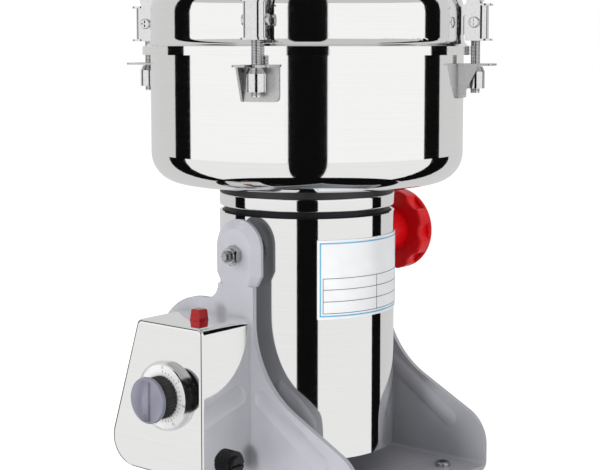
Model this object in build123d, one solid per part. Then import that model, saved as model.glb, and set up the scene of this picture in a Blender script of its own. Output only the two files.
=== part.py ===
from build123d import *
import os
from math import acos, cos, degrees, radians, sin, sqrt, tan

# An electric spice grinder whose head swings between two arms, in millimetres.
# The model is built about the axis of the motor can: X runs along the swing pivot, the control
# box is at -X, the front is -Y and Z is up. At the end everything is moved sideways, so that
# the origin is the middle of the footprint, on the table.

# Clearances
RUNNING_GAP = 0.05        # between a shaft and its hole, on the radius
SEAT_GAP = 0.1            # between a fixed piece and its seat
MOVING_GAP = 0.3          # between faces that slide past each other
OVERRUN = 5.0             # how far a cut runs past the face it opens

# Stand sheet
SHEET = 3.0
BEND_R = 5.0              # outside of the fold between base and arm
SIDE_GAP = 9.0            # between the can and each arm
BASE_FRONT = 87.5
BASE_BACK = 77.0
FOOT_HEIGHT = 8.0
PIVOT_DROP = 20.6         # pivot below the can's top edge

# Arms
HEAD_R = 16.7
HEAD_LIFT = 3.4            # centre of the head's round top, above the pivot
HEAD_BEVEL = 5.4
HEAD_RIM = 2.0
HEAD_DROP = 17.0          # lower end of the dished head, below the pivot
HEAD_TAPER = 6.0          # height over which the head narrows to the neck
NECK_HALF = 13.2
NECK_ROUND = 54.0
NECK_ROUND_SHARE = 0.95   # of the neck's upright, the most that its round may take
SHOULDER_RISE = 28.3      # front corner of the arm, above the base's underside
SHOULDER_ROUND = 22.0
SHOULDER_SLOPE = 27.5     # degrees
LEDGE_DROP = 26.5         # ledge behind the left arm's neck, below the pivot
LEDGE_REACH = 54.5
LEDGE_HOLLOW = 9.0
LEDGE_ROUND = 36.0
HEEL_RISE = 11.3          # where the left arm's back edge turns upright
BEAD_WIDTH = 11.0
BEAD_DEPTH = 1.4
BEAD_TOP_REACH = 20.0
BEAD_TOP_RISE = 56.3
BEAD_FOOT_REACH = 62.0
BEAD_FOOT_RISE = 27.7

# Feet
FOOT_R = 13.0
FOOT_FLARE = 1.5
FOOT_INSET_X = 19.5
FOOT_INSET_Y = 18.5

# Cross recess of the screws
CROSS_SHARE = 0.62        # of the head's radius
CROSS_WIDTH_SHARE = 0.26  # of the head's radius
CROSS_DEPTH_SHARE = 0.6   # of the head's height

# Pan-head screws of the stand
STAND_SCREW_R = 2.5
STAND_SCREW_LENGTH = 8.0
STAND_SCREW_HEAD_R = 4.6
STAND_SCREW_HEAD = 2.6

# Control box
BOX_DEPTH = 39.7
BOX_SHEET = 1.2
BOX_TOP_DROP = 35.0       # below the pivot
BOX_LIFT = 15.3           # above the base's underside
BOX_FRONT = 11.2
BOX_TOP_BACK = 38.3
BOX_BOTTOM_BACK = 65.7
BOX_CORNER = 3.5
BOX_HEEL_ROUND = 16.0
BOX_EDGE = 1.9
BOX_TAB = 14.0            # square tabs that take the screws
BOX_TAB_INSET = 8.0       # screw centre from the wall that carries the tab

# Timer
TIMER_Y = 15.3
TIMER_SHARE = 0.534       # of the box's height, from its bottom
BEZEL_R = 19.6
BEZEL_STEP = 0.35
BEZEL_DEPTH = 3.8
BEZEL_LIP = 0.9
DIAL_SHEET = 1.0
DIAL_RECESS = 0.5
DIAL_SEAT = 1.4           # ledge in the bezel that carries the dial
TIMER_BODY_Y = 40.0
TIMER_BODY_Z = 33.0
TIMER_BODY_DEPTH = 22.0
TIMER_NECK_R = 5.0
TIMER_NECK = 2.0
TIMER_SHAFT_R = 3.0
KNOB_R = 12.75
KNOB_SKIRT_R = 11.8
KNOB_SKIRT = 9.7
KNOB_CAP = 2.3
KNOB_BAR = 1.6
KNOB_BAR_WIDTH = 6.0
KNOB_RIBS = 36
KNOB_RIB_R = 0.5

# Reset button and its breaker
BUTTON_OUT = 20.0         # from the arm's outer face
BUTTON_Y = 9.0
BUTTON_SIDE = 7.3
BUTTON_TOP_SIDE = 6.2
BUTTON_HEIGHT = 6.3
BUTTON_STEM = 6.0
BUTTON_TRAVEL = 2.5
BUTTON_ROUND = 0.8
BREAKER_X = 16.0
BREAKER_Y = 14.0
BREAKER_Z = 17.0

# Fuse holder
FUSE_OUT = 18.0
FUSE_RISE = 7.7           # above the box's underside
FUSE_FLANGE_R = 7.4
FUSE_FLANGE = 4.5
FUSE_BARREL_R = 6.0
FUSE_BARREL = 30.0
FUSE_CAP_R = 4.7
FUSE_CAP_PROUD = 2.5
FUSE_CAP_REACH = 12.0
FUSE_SLOT = 1.6
FUSE_KNURLS = 40
FUSE_KNURL_R = 0.45

# Cord inlet bush, on the sloping back of the box
INLET_BORE_R = 3.6
INLET_BARREL_R = 5.5
INLET_FLANGE_R = 8.0
INLET_FLANGE = 3.0
INLET_TAIL = 4.0
INLET_SHARE = 0.55        # of the back's length, from its top

# Motor can
CAN_R = 52.0
CAN_WALL = 1.5
CAN_LIFT = 15.8           # above the base
CAN_HEIGHT = 138.1
PLATE_HEIGHT = 45.0
PLATE_SPREAD = 79.0       # degrees round the can
PLATE_TURN = -5.0         # degrees from the front, towards +X
PLATE_TOP_GAP = 12.0      # below the can's top edge
PLATE_SHEET = 0.4
PLATE_GLUE = 0.2

# Neck between can and bowl
STEP_HEIGHT = 3.6
STEP_INSET = 3.0
CLAMP_HEIGHT = 7.6
NECK_HEIGHT = 6.2
CLAMP_WIDTH = 12.0
COVER_SKIRT = 12.0
COVER_SKIRT_WALL = 4.4
COVER_DISC = 6.0
CLAMP_ROUND = 1.0

# Shaft and bearings
BEARING_BORE_R = 6.0
BEARING_R = 16.0
BEARING_WIDTH = 10.0
BEARING_SHIELD = 0.8
BEARING_RACE = 3.0
SHAFT_R = 7.0
SHAFT_END = 2.0
THREAD_R = 5.0
SEAL_R = 10.0

# Motor
BRACKET_RISE = 19.0       # lower bracket's disc above the can's bottom edge
BRACKET_DISC = 6.0
BRACKET_CUP_WALL = 4.0
BRACKET_FLOOR = 3.0
BRACKET_VENT_R = 6.0
BRACKET_VENTS = 6
BRACKET_VENT_TURN = 30.0  # degrees
BOSS_R = 5.0
BOSS_INSET = 10.5         # boss centre from the can's inside
MOTOR_SCREWS = 3
MOTOR_SCREW_R = 2.0
MOTOR_SCREW_LENGTH = 12.0
MOTOR_SCREW_HEAD_R = 3.6
MOTOR_SCREW_HEAD = 2.0
COVER_RECESS = 2.7        # bottom cover above the can's bottom edge
COVER_SHEET = 1.5
COVER_RIM = 8.0
COVER_SLOTS = 12
COVER_SLOT_R = 2.2
YOKE_SHARE = 0.2376       # these shares are of the can's inner radius
AIR_GAP = 0.6
ARMATURE_SHARE = 0.4753
POLE_SHARE = 1.25         # of the armature's radius
ARMATURE_SHORT = 2.0      # armature stack inside each end of the stator
ARMATURE_SLOTS = 12
ARMATURE_SLOT = 3.0
ARMATURE_SLOT_DEPTH = 8.0
WINDING_INSET = 3.0
WINDING_OVERHANG = 9.0
WINDING_GAP = 3.0         # above the commutator
COIL_WIDTH_SHARE = 0.0653
COIL_DEPTH_SHARE = 0.1386
COIL_OVERHANG = 4.0
COMMUTATOR_R = 14.0
COMMUTATOR_LENGTH = 16.0
COMMUTATOR_BARS = 24
COMMUTATOR_SLIT = 0.6
COMMUTATOR_SLIT_DEPTH = 1.2
COMMUTATOR_RISE = 7.0     # above the lower bracket's disc
BRUSH_WIDTH = 7.0
BRUSH_HEIGHT = 11.0
BRUSH_SPRING_ROOM = 3.0
HOLDER_WALL = 2.0
HOLDER_BACK = 9.5         # holder's back end from the can's inside
HOLDER_INSET = 3.0        # holder back from the commutator
FAN_GAP_ROUND = 8.5       # fan's rim from the can's inside
FAN_HUB_R = 11.0
FAN_DISC = 1.6
FAN_HEIGHT = 11.0
FAN_BLADES = 12
FAN_BLADE = 1.4
FAN_BLADE_ROOT = 18.0
FAN_GAP = 3.0             # above the windings
FAN_CLEAR = 3.1           # below the upper end cover

# Swing pivot
STUD_R = 3.0
STUD_HEAD_R = 6.5
STUD_HEAD = 3.0
STUD_PROUD = 3.0
NUT_FLATS = 10.0
NUT_HEX = 4.6
NUT_COLLAR = 1.6
NUT_COLLAR_R = 4.4
SPACER_R = 9.0

# Lock knob
LOCK_R = 26.0
LOCK_RIM = 12.0
LOCK_FLANGE = 3.5         # round flange at the outer end of the lobed rim
LOCK_LOBES = 8
LOCK_SCALLOP_R = 8.5
LOCK_SCALLOP = 2.6
LOCK_LOBE_ROUND = 2.5
LOCK_EDGE = 1.5
LOCK_HUB_R = 12.0
LOCK_HUB_ROOT_R = 15.0
LOCK_HUB = 19.0
LOCK_STUD_R = 4.0
LOCK_STUD_GRIP = 16.0     # stud length inside the knob
WELD_NUT_R = 8.0
WELD_NUT = 6.0

# Bowl
BOWL_R = 92.0
BOWL_WALL = 1.5
BOWL_FLOOR_ROUND = 17.5
BOWL_DEPTH = 74.2         # bowl bottom to the lower edge of the lid's skirt
RIM_REACH = 3.0

# Lid
LID_WALL = 1.2
SKIRT_HEIGHT = 4.9
FLARE = 4.6               # the lid's hollow flare, out and up
LID_RISE = 35.0           # above the flare
LID_ROUND = 20.0
GASKET_INSET = 0.4
GASKET_HEIGHT = 5.2

# Blades
BLADE_SHEET = 2.5
BLADE_HUB_R = 11.0
BLADE_WIDTH = 17.0
BLADE_TIP_WIDTH = 11.0
LOWER_BLADE_REACH = 78.0
UPPER_BLADE_REACH = 62.0
BLADE_LIFT = 6.0          # lower blade above the bowl's floor
BLADE_SPACER_R = 9.0
BLADE_SPACER = 14.0
BLADE_NUT_FLATS = 17.0
BLADE_NUT = 8.0

# Latches, with positions measured out from the bowl's wall and up from the top of the flare
LATCHES = 4
LATCH_TURN = -66.2        # degrees, first latch from +X
LEVER_PIVOT_OUT = 8.0
LEVER_PIVOT_UP = 23.0
LEVER_THROW = 8.5         # link pin above the lever's pivot
LEVER_OVER_CENTRE = 1.0   # link pin inboard of the lever's pivot
LEVER_PIN_R = 2.0
LEVER_BOSS_R = 4.0
LEVER_HALF = 3.0
LEVER_TIP_OUT = 6.0       # tip of the lever from its pivot
LEVER_TIP_UP = 25.0
LEVER_ARM_R = 2.2
LEVER_PADDLE_HALF = 6.5
LEVER_PADDLE_SHARE = 0.45 # of the lever's arm, from its tip
EAR_HALF = 4.5
EAR_SHEET = 1.2
EAR_LOW = 10.0
EAR_HIGH = 17.0
EAR_PAD_LOW = 2.0
LINK_HALF = 5.9
LINK_SHEET = 1.1
LINK_BACK = 2.4
LINK_FRONT = 15.0
LINK_ROUND = 4.0
LINK_TOP = 19.5
LINK_BOTTOM = -1.4
LINK_LIP = 2.2
LINK_LIP_HALF = 6.9
LINK_STRAP_R = 3.8
ROD_OUT = 7.8
ROD_R = 2.5
ROD_BOTTOM = -31.2
BARREL_UP = 9.0
BARREL_R = 3.3
TRUNNION_R = 1.8
LINK_SCREW_R = 1.2
LINK_SCREW_HEAD_R = 3.2
LINK_SCREW_HEAD = 1.6
CATCH_TOP = -14.4         # upper face of the catch plate
CATCH_SHEET = 1.2
CATCH_HALF = 10.5
CATCH_REACH = 19.0
CATCH_CORNER = 2.5
CATCH_SLOT_GAP = 0.4
CATCH_BOTTOM = -34.0
CATCH_GUSSET = 11.0
CATCH_GUSSET_FOOT = 2.0
LATCH_NUT_R = 5.5
LATCH_NUT_NOSE_R = 4.0
LATCH_NUT_NOSE = 3.0
LATCH_NUT_BOTTOM = -28.5
LATCH_NUT_GAP = 0.4

# Worked-out places
BASE_TOP = FOOT_HEIGHT + SHEET
CAN_LOW = BASE_TOP + CAN_LIFT
CAN_TOP = CAN_LOW + CAN_HEIGHT
PIVOT_Z = CAN_TOP - PIVOT_DROP
ARM_IN = CAN_R + SIDE_GAP
ARM_OUT = ARM_IN + SHEET
BOX_FACE = ARM_OUT + BOX_DEPTH
BOX_TOP = PIVOT_Z - BOX_TOP_DROP
BOX_BOTTOM = FOOT_HEIGHT + BOX_LIFT
TIMER_Z = BOX_BOTTOM + (BOX_TOP - BOX_BOTTOM) * TIMER_SHARE
BEZEL_FACE = BOX_FACE + BEZEL_DEPTH
DIAL_FACE = BEZEL_FACE - DIAL_RECESS
DIAL_R = BEZEL_R - 2 * BEZEL_STEP - BEZEL_LIP
CAN_IN = CAN_R - CAN_WALL
HUB_R = CAN_R - CLAMP_WIDTH
BOWL_SCREW_CIRCLE = (BEARING_R + BRACKET_CUP_WALL + HUB_R) / 2
BOSS_CIRCLE = CAN_IN - BOSS_INSET
COVER_SLOT_CIRCLE = CAN_IN / 2
ARMATURE_R = CAN_IN * ARMATURE_SHARE
POLE_WIDTH = ARMATURE_R * POLE_SHARE
STATOR_YOKE = CAN_IN * YOKE_SHARE
COIL_DEPTH = CAN_IN * COIL_DEPTH_SHARE
COIL_WIDTH = CAN_IN * COIL_WIDTH_SHARE
HOLDER_LENGTH = CAN_IN - COMMUTATOR_R - HOLDER_INSET - HOLDER_BACK
BRUSH_LENGTH = HOLDER_LENGTH - BRUSH_SPRING_ROOM
FAN_R = CAN_IN - FAN_GAP_ROUND
STEP_TOP = CAN_TOP + STEP_HEIGHT
CLAMP_TOP = STEP_TOP + CLAMP_HEIGHT
BOWL_LOW = CLAMP_TOP + NECK_HEIGHT
BOWL_FLOOR = BOWL_LOW + BOWL_WALL
SKIRT_LOW = BOWL_LOW + BOWL_DEPTH
SKIRT_TOP = SKIRT_LOW + SKIRT_HEIGHT
FLARE_TOP = SKIRT_TOP + FLARE
SKIRT_R = BOWL_R + FLARE
LID_TOP = FLARE_TOP + LID_RISE
RIM_TOP = SKIRT_LOW + SEAT_GAP + BOWL_WALL
BRACKET_LOW = CAN_LOW + BRACKET_RISE
BRACKET_TOP = BRACKET_LOW + BRACKET_DISC
COVER_LOW = CAN_LOW + COVER_RECESS
LOWER_BEARING_Z = BRACKET_TOP - BEARING_WIDTH
UPPER_BEARING_Z = BOWL_LOW - COVER_DISC - BEARING_WIDTH
COMMUTATOR_LOW = BRACKET_TOP + COMMUTATOR_RISE
WINDING_LOW = COMMUTATOR_LOW + COMMUTATOR_LENGTH + WINDING_GAP
STATOR_LOW = WINDING_LOW + WINDING_OVERHANG - ARMATURE_SHORT
FAN_LOW = CAN_TOP - COVER_DISC - FAN_CLEAR - FAN_HEIGHT
STATOR_TOP = FAN_LOW - FAN_GAP - WINDING_OVERHANG + ARMATURE_SHORT
STATOR_STACK = STATOR_TOP - STATOR_LOW
BLADE_Z = BOWL_FLOOR + BLADE_LIFT
UPPER_BLADE_Z = BLADE_Z + BLADE_SHEET + BLADE_SPACER
BLADE_NUT_Z = UPPER_BLADE_Z + BLADE_SHEET
SHAFT_TOP = BLADE_NUT_Z + BLADE_NUT + SHAFT_END
SCREW_TURN = 360 / MOTOR_SCREWS
LEVER_R = BOWL_R + LEVER_PIVOT_OUT
LEVER_Z = FLARE_TOP + LEVER_PIVOT_UP
LINK_PIN_R = LEVER_R - LEVER_OVER_CENTRE
LINK_PIN_Z = LEVER_Z + LEVER_THROW
ROD_AXIS = BOWL_R + ROD_OUT
BARREL_Z = FLARE_TOP + BARREL_UP
CATCH_Z = FLARE_TOP + CATCH_TOP


def ring(outer, inner, low, high):
    """A tube about the vertical axis."""
    return Pos(0, 0, low) * extrude(Circle(outer) - Circle(inner), high - low)


def disc(radius, low, high):
    """A disc about the vertical axis."""
    return Pos(0, 0, low) * extrude(Circle(radius), high - low)


def bar(radius, start, end):
    """A round bar between two points."""
    axis = Vector(*end) - Vector(*start)
    return extrude(Plane(origin=start, z_dir=axis) * Circle(radius), axis.length)


def block(low, high):
    """A box between two opposite corners."""
    size = [b - a for a, b in zip(low, high)]
    middle = [(a + b) / 2 for a, b in zip(low, high)]
    return Pos(*middle) * Box(*size)


def turned(*edges):
    """A solid turned about Z from the closed outline of a half section, as radius and height."""
    return revolve(Plane.XZ * make_face(edges), Axis.Z)


def turned_path(points):
    """A solid turned about Z from straight-sided points of radius and height."""
    return turned(*Polyline(*points, close=True).edges())


def side_slice(outline, start, end):
    """A solid from an outline in Y and Z, between two values of X."""
    return extrude(Plane.YZ.offset(start) * outline, end - start)


def round_corner(face, point, radius):
    """Round the corner of a face nearest to a point."""
    corner = min(face.vertices(), key=lambda v: (Vector(v.X, v.Y) - Vector(*point)).length)
    return fillet(corner, radius)


def group(pieces):
    """Several solids kept as one node."""
    return Compound([solid for piece in pieces for solid in piece.solids()])


def around(shape, count, start=0.0):
    """Copies of a shape, evenly spaced about the vertical axis."""
    return [Rot(0, 0, start + step * 360 / count) * shape for step in range(count)]


def capsule(radius, start, end):
    """A bar with round ends."""
    ends = Pos(*start) * Sphere(radius) + Pos(*end) * Sphere(radius)
    return bar(radius, start, end) + ends


def hexagon(flats, low, high):
    """A hexagonal prism about the vertical axis."""
    return Pos(0, 0, low) * extrude(RegularPolygon(flats / 2, 6, major_radius=False), high - low)


# Stand

def neck_corner_z():
    """Height where the sloping front of an arm would meet the upright of its neck."""
    climb = (BASE_FRONT - NECK_HALF) * tan(radians(SHOULDER_SLOPE))
    return FOOT_HEIGHT + SHOULDER_RISE + climb


def neck_round():
    """Round in front of and behind the neck, kept within the neck's upright."""
    upright = PIVOT_Z - HEAD_DROP - neck_corner_z()
    most = NECK_ROUND_SHARE * upright / tan(radians(90 - SHOULDER_SLOPE) / 2)
    return min(NECK_ROUND, most)


def arm_outline(back):
    """Side view of an arm below its head: the sloping front, then the given back corners."""
    shoulder = (-BASE_FRONT, FOOT_HEIGHT + SHOULDER_RISE)
    hollow = (-NECK_HALF, neck_corner_z())
    front = [(-BASE_FRONT, FOOT_HEIGHT), shoulder, hollow, (-NECK_HALF, PIVOT_Z - HEAD_DROP)]
    face = make_face(Polyline(*front, *[point for point, radius in back], close=True))
    rounds = [(shoulder, SHOULDER_ROUND), (hollow, neck_round())]
    for point, radius in rounds + [corner for corner in back if corner[1]]:
        face = round_corner(face, point, radius)
    return face


def left_arm_outline():
    """The left arm has a ledge behind its neck and a leaning back edge."""
    ledge_z = PIVOT_Z - LEDGE_DROP
    return arm_outline([
        ((NECK_HALF, PIVOT_Z - HEAD_DROP), 0),
        ((NECK_HALF, ledge_z), LEDGE_HOLLOW),
        ((LEDGE_REACH, ledge_z), LEDGE_ROUND),
        ((BASE_BACK, FOOT_HEIGHT + HEEL_RISE), 0),
        ((BASE_BACK, FOOT_HEIGHT), 0),
    ])


def right_arm_outline():
    """The right arm slopes to the back as it does to the front."""
    drop = (BASE_BACK - NECK_HALF) * tan(radians(SHOULDER_SLOPE))
    return arm_outline([
        ((NECK_HALF, PIVOT_Z - HEAD_DROP), 0),
        ((NECK_HALF, neck_corner_z()), neck_round()),
        ((BASE_BACK, neck_corner_z() - drop), SHOULDER_ROUND),
        ((BASE_BACK, FOOT_HEIGHT), 0),
    ])


def head_outline(half, foot):
    """A round-topped tongue about the pivot that narrows to a foot."""
    low = PIVOT_Z - HEAD_DROP
    knee = low + HEAD_TAPER
    top = PIVOT_Z + HEAD_LIFT
    sides = Polyline((-half, top), (-half, knee), (-foot, low), (foot, low), (half, knee), (half, top))
    return make_face([*sides.edges(), CenterArc((0, top), half, 0, 180)])


def head_frustum(x):
    """The head's flat face at x, widening to the full outline one bevel depth nearer the can."""
    flat = HEAD_R - HEAD_BEVEL
    small = Plane.YZ.offset(x) * head_outline(flat, flat - HEAD_RIM)
    large = Plane.YZ.offset(x + SHEET) * head_outline(HEAD_R, NECK_HALF)
    return loft([small, large])


def arm_head():
    """The dished head of the left arm."""
    rim = side_slice(head_outline(HEAD_R, NECK_HALF), -ARM_IN, HEAD_RIM - ARM_IN)
    return head_frustum(-ARM_OUT) + rim - head_frustum(-ARM_IN)


def bead_capsule(x):
    """The round-ended form that is pressed into an arm as a bead."""
    top = (x, -BEAD_TOP_REACH, FOOT_HEIGHT + BEAD_TOP_RISE)
    foot = (x, -BEAD_FOOT_REACH, FOOT_HEIGHT + BEAD_FOOT_RISE)
    return capsule(bead_radius(), top, foot)


def bead_radius():
    """Radius that gives the bead its width at its depth."""
    return (BEAD_WIDTH ** 2 / 4 + BEAD_DEPTH ** 2) / (2 * BEAD_DEPTH)


def bead_ridge():
    """The bead's ridge on the inner face of the left arm."""
    sunk = bead_radius() - BEAD_DEPTH
    room = block((-ARM_OUT + SHEET / 2, -BASE_FRONT, FOOT_HEIGHT), (0, BASE_BACK, PIVOT_Z))
    return bead_capsule(-ARM_IN - sunk) & room


def bead_groove():
    """The bead's groove in the outer face of the left arm."""
    return bead_capsule(-ARM_OUT - bead_radius() + BEAD_DEPTH)


def foot_places():
    """Centres of the four feet."""
    side = ARM_OUT - FOOT_INSET_X
    front = FOOT_INSET_Y - BASE_FRONT
    back = BASE_BACK - FOOT_INSET_Y
    return [(x, y) for x in (-side, side) for y in (front, back)]


def box_screw_places():
    """Y and Z of the screws that hold the control box to the arm."""
    top_y = (BOX_TOP_BACK - BOX_FRONT) / 2
    return [
        (top_y, BOX_TOP - BOX_TAB_INSET),
        (BOX_TAB_INSET - BOX_FRONT + BOX_TAB, BOX_BOTTOM + BOX_TAB_INSET),
        (BOX_TOP_BACK, BOX_BOTTOM + BOX_TAB_INSET),
    ]


def yoke_frame():
    """Base and both arms, folded from one sheet."""
    height = PIVOT_Z - FOOT_HEIGHT
    outer = Pos(0, height / 2) * Rectangle(2 * ARM_OUT, height)
    inner = Pos(0, height / 2 + SHEET) * Rectangle(2 * ARM_IN, height)
    for side in (-1, 1):
        outer = round_corner(outer, (side * ARM_OUT, 0), BEND_R)
        inner = round_corner(inner, (side * ARM_IN, SHEET), BEND_R - SHEET)
    section = Plane((0, -BASE_FRONT, FOOT_HEIGHT), x_dir=(-1, 0, 0), z_dir=(0, 1, 0)) * (outer - inner)
    channel = extrude(section, BASE_FRONT + BASE_BACK)
    reach = ARM_OUT + OVERRUN
    sides = side_slice(left_arm_outline(), -reach, 0) + side_slice(right_arm_outline(), 0, reach)
    frame = channel & sides
    for make in (arm_head, bead_ridge):
        frame = frame + make() + mirror(make(), Plane.YZ)
    frame = frame - bead_groove() - mirror(bead_groove(), Plane.YZ)
    frame -= bar(STUD_R + RUNNING_GAP, (-reach, 0, PIVOT_Z), (0, 0, PIVOT_Z))
    frame -= bar(LOCK_STUD_R + RUNNING_GAP, (0, 0, PIVOT_Z), (reach, 0, PIVOT_Z))
    for x, y in foot_places():
        frame -= bar(STAND_SCREW_R, (x, y, 0), (x, y, BASE_TOP + OVERRUN))
    for y, z in box_screw_places():
        frame -= bar(STAND_SCREW_R, (-reach, y, z), (0, y, z))
    return frame


def pan_screw(head_r, head, shank_r, shank):
    """A cross-recessed pan-head screw, its seat at the origin and its shank along -Z."""
    top = fillet(extrude(Circle(head_r), head).edges().group_by(Axis.Z)[-1], head / 2)
    reach = head_r * CROSS_SHARE
    half = head_r * CROSS_WIDTH_SHARE / 2
    slot = block((-reach, -half, head * (1 - CROSS_DEPTH_SHARE)), (reach, half, head * 2))
    return top - slot - Rot(0, 0, 90) * slot + extrude(Circle(shank_r), -shank)


def stand_screw():
    """One screw of the stand."""
    return pan_screw(STAND_SCREW_HEAD_R, STAND_SCREW_HEAD, STAND_SCREW_R, STAND_SCREW_LENGTH)


def stand_screws():
    """Foot screws and control box screws, all alike."""
    screws = [Pos(x, y, BASE_TOP) * stand_screw() for x, y in foot_places()]
    for y, z in box_screw_places():
        screws.append(Pos(-ARM_IN, y, z) * Rot(0, 90, 0) * stand_screw())
    return group(screws)


def rubber_feet():
    """Tapered feet under the base, each with a hole for its screw."""
    profile = [(0, 0), (FOOT_R - FOOT_FLARE, 0), (FOOT_R, FOOT_HEIGHT), (0, FOOT_HEIGHT)]
    hole_low = BASE_TOP - STAND_SCREW_LENGTH
    foot = turned_path(profile) - disc(STAND_SCREW_R, hole_low, FOOT_HEIGHT + OVERRUN)
    return group([Pos(x, y, 0) * foot for x, y in foot_places()])


# Control box

def box_outline():
    """Side view of the control box, with its leaning back."""
    corners = [
        ((-BOX_FRONT, BOX_TOP), BOX_CORNER),
        ((BOX_TOP_BACK, BOX_TOP), BOX_CORNER),
        ((BOX_BOTTOM_BACK, BOX_BOTTOM), BOX_HEEL_ROUND),
        ((-BOX_FRONT, BOX_BOTTOM), BOX_CORNER),
    ]
    face = make_face(Polyline(*[point for point, radius in corners], close=True))
    for point, radius in corners:
        face = round_corner(face, point, radius)
    return face


def box_tab(y, z, wall_z):
    """A tab against the arm for one screw, reaching to the wall that carries it."""
    low = min(z - BOX_TAB / 2, wall_z)
    high = max(z + BOX_TAB / 2, wall_z)
    return block((-ARM_OUT - BOX_SHEET, y - BOX_TAB / 2, low), (-ARM_OUT, y + BOX_TAB / 2, high))


def inlet_plane():
    """Plane on the box's back, at the cord inlet, facing out."""
    run = BOX_BOTTOM_BACK - BOX_TOP_BACK
    fall = BOX_TOP - BOX_BOTTOM
    place = (-ARM_OUT - BOX_DEPTH / 2, BOX_TOP_BACK + run * INLET_SHARE, BOX_TOP - fall * INLET_SHARE)
    return Plane(origin=place, x_dir=(1, 0, 0), z_dir=(0, fall, run))


def control_box():
    """The polished sheet shell, open towards the arm."""
    shell = side_slice(box_outline(), -BOX_FACE, -ARM_OUT)
    shell = fillet(shell.faces().sort_by(Axis.X)[0].outer_wire().edges(), BOX_EDGE)
    shell -= side_slice(offset(box_outline(), -BOX_SHEET), BOX_SHEET - BOX_FACE, OVERRUN - ARM_OUT)
    places = box_screw_places()
    walls = [BOX_TOP - BOX_SHEET / 2] + [BOX_BOTTOM + BOX_SHEET / 2] * (len(places) - 1)
    for (y, z), wall in zip(places, walls):
        shell += box_tab(y, z, wall)
        shell -= bar(STAND_SCREW_R, (-ARM_OUT - BOX_SHEET - OVERRUN, y, z), (0, y, z))
    face_hole_end = -BOX_FACE + BOX_SHEET + OVERRUN
    shell -= bar(TIMER_NECK_R, (-BOX_FACE - OVERRUN, TIMER_Y, TIMER_Z), (face_hole_end, TIMER_Y, TIMER_Z))
    half = BUTTON_SIDE / 2 + MOVING_GAP
    x = -ARM_OUT - BUTTON_OUT
    low = (x - half, BUTTON_Y - half, BOX_TOP - BOX_SHEET - OVERRUN)
    shell -= block(low, (x + half, BUTTON_Y + half, BOX_TOP + OVERRUN))
    fuse_end = BOX_SHEET + OVERRUN - BOX_FRONT
    shell -= bar(FUSE_BARREL_R, fuse_point(-BOX_FRONT - OVERRUN), fuse_point(fuse_end))
    return shell - extrude(inlet_plane() * Circle(INLET_BARREL_R), INLET_TAIL, both=True)


def cord_inlet():
    """A bush for the mains cord: a flange outside the box and a barrel through its back."""
    barrel = extrude(inlet_plane() * Circle(INLET_BARREL_R), -BOX_SHEET - INLET_TAIL)
    flange = extrude(inlet_plane() * Circle(INLET_FLANGE_R), INLET_FLANGE)
    rim = flange.faces().sort_by(SortBy.DISTANCE, reverse=True)
    outer = max(rim.filter_by(GeomType.PLANE), key=lambda face: face.center().Y)
    bush = barrel + fillet(outer.edges(), INLET_FLANGE / 2)
    bush += extrude(inlet_plane() * Circle(INLET_BARREL_R), INLET_FLANGE / 2)
    return bush - extrude(inlet_plane() * Circle(INLET_BORE_R), INLET_TAIL + OVERRUN, both=True)


def timer_point(x):
    """A point on the timer's axis."""
    return (x, TIMER_Y, TIMER_Z)


def timer_turned(points):
    """A solid turned about the timer's axis, from points of radius and distance out from the box."""
    return Pos(*timer_point(-BOX_FACE)) * Rot(0, -90, 0) * turned_path(points)


def timer_switch():
    """Clockwork timer behind the face, with a neck through it."""
    back = -BOX_FACE + BOX_SHEET + TIMER_BODY_DEPTH
    half_y = TIMER_BODY_Y / 2
    half_z = TIMER_BODY_Z / 2
    low = (-BOX_FACE + BOX_SHEET, TIMER_Y - half_y, TIMER_Z - half_z)
    body = block(low, (back, TIMER_Y + half_y, TIMER_Z + half_z))
    body = fillet(body.edges().filter_by(Axis.X), BOX_CORNER)
    body += bar(TIMER_NECK_R, timer_point(-BOX_FACE - TIMER_NECK), timer_point(back))
    end = timer_point(-BOX_FACE - TIMER_NECK - OVERRUN)
    return body - bar(TIMER_SHAFT_R + RUNNING_GAP, timer_point(back - SHEET), end)


def timer_bezel():
    """A stepped chrome ring with a ledge for the dial."""
    third = BEZEL_DEPTH / 3
    seat = BEZEL_DEPTH - DIAL_RECESS - DIAL_SHEET
    inner = DIAL_R - DIAL_SEAT
    return timer_turned([
        (inner, 0), (BEZEL_R, 0), (BEZEL_R, third),
        (BEZEL_R - BEZEL_STEP, third), (BEZEL_R - BEZEL_STEP, 2 * third),
        (BEZEL_R - 2 * BEZEL_STEP, 2 * third), (BEZEL_R - 2 * BEZEL_STEP, BEZEL_DEPTH),
        (DIAL_R, BEZEL_DEPTH), (DIAL_R, seat), (inner, seat),
    ])


def timer_dial():
    """The plate that the timer's scale is printed on."""
    seat = BEZEL_DEPTH - DIAL_RECESS - DIAL_SHEET
    hole = TIMER_SHAFT_R + MOVING_GAP
    top = seat + DIAL_SHEET
    return timer_turned([(hole, seat), (DIAL_R, seat), (DIAL_R, top), (hole, top)])


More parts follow.
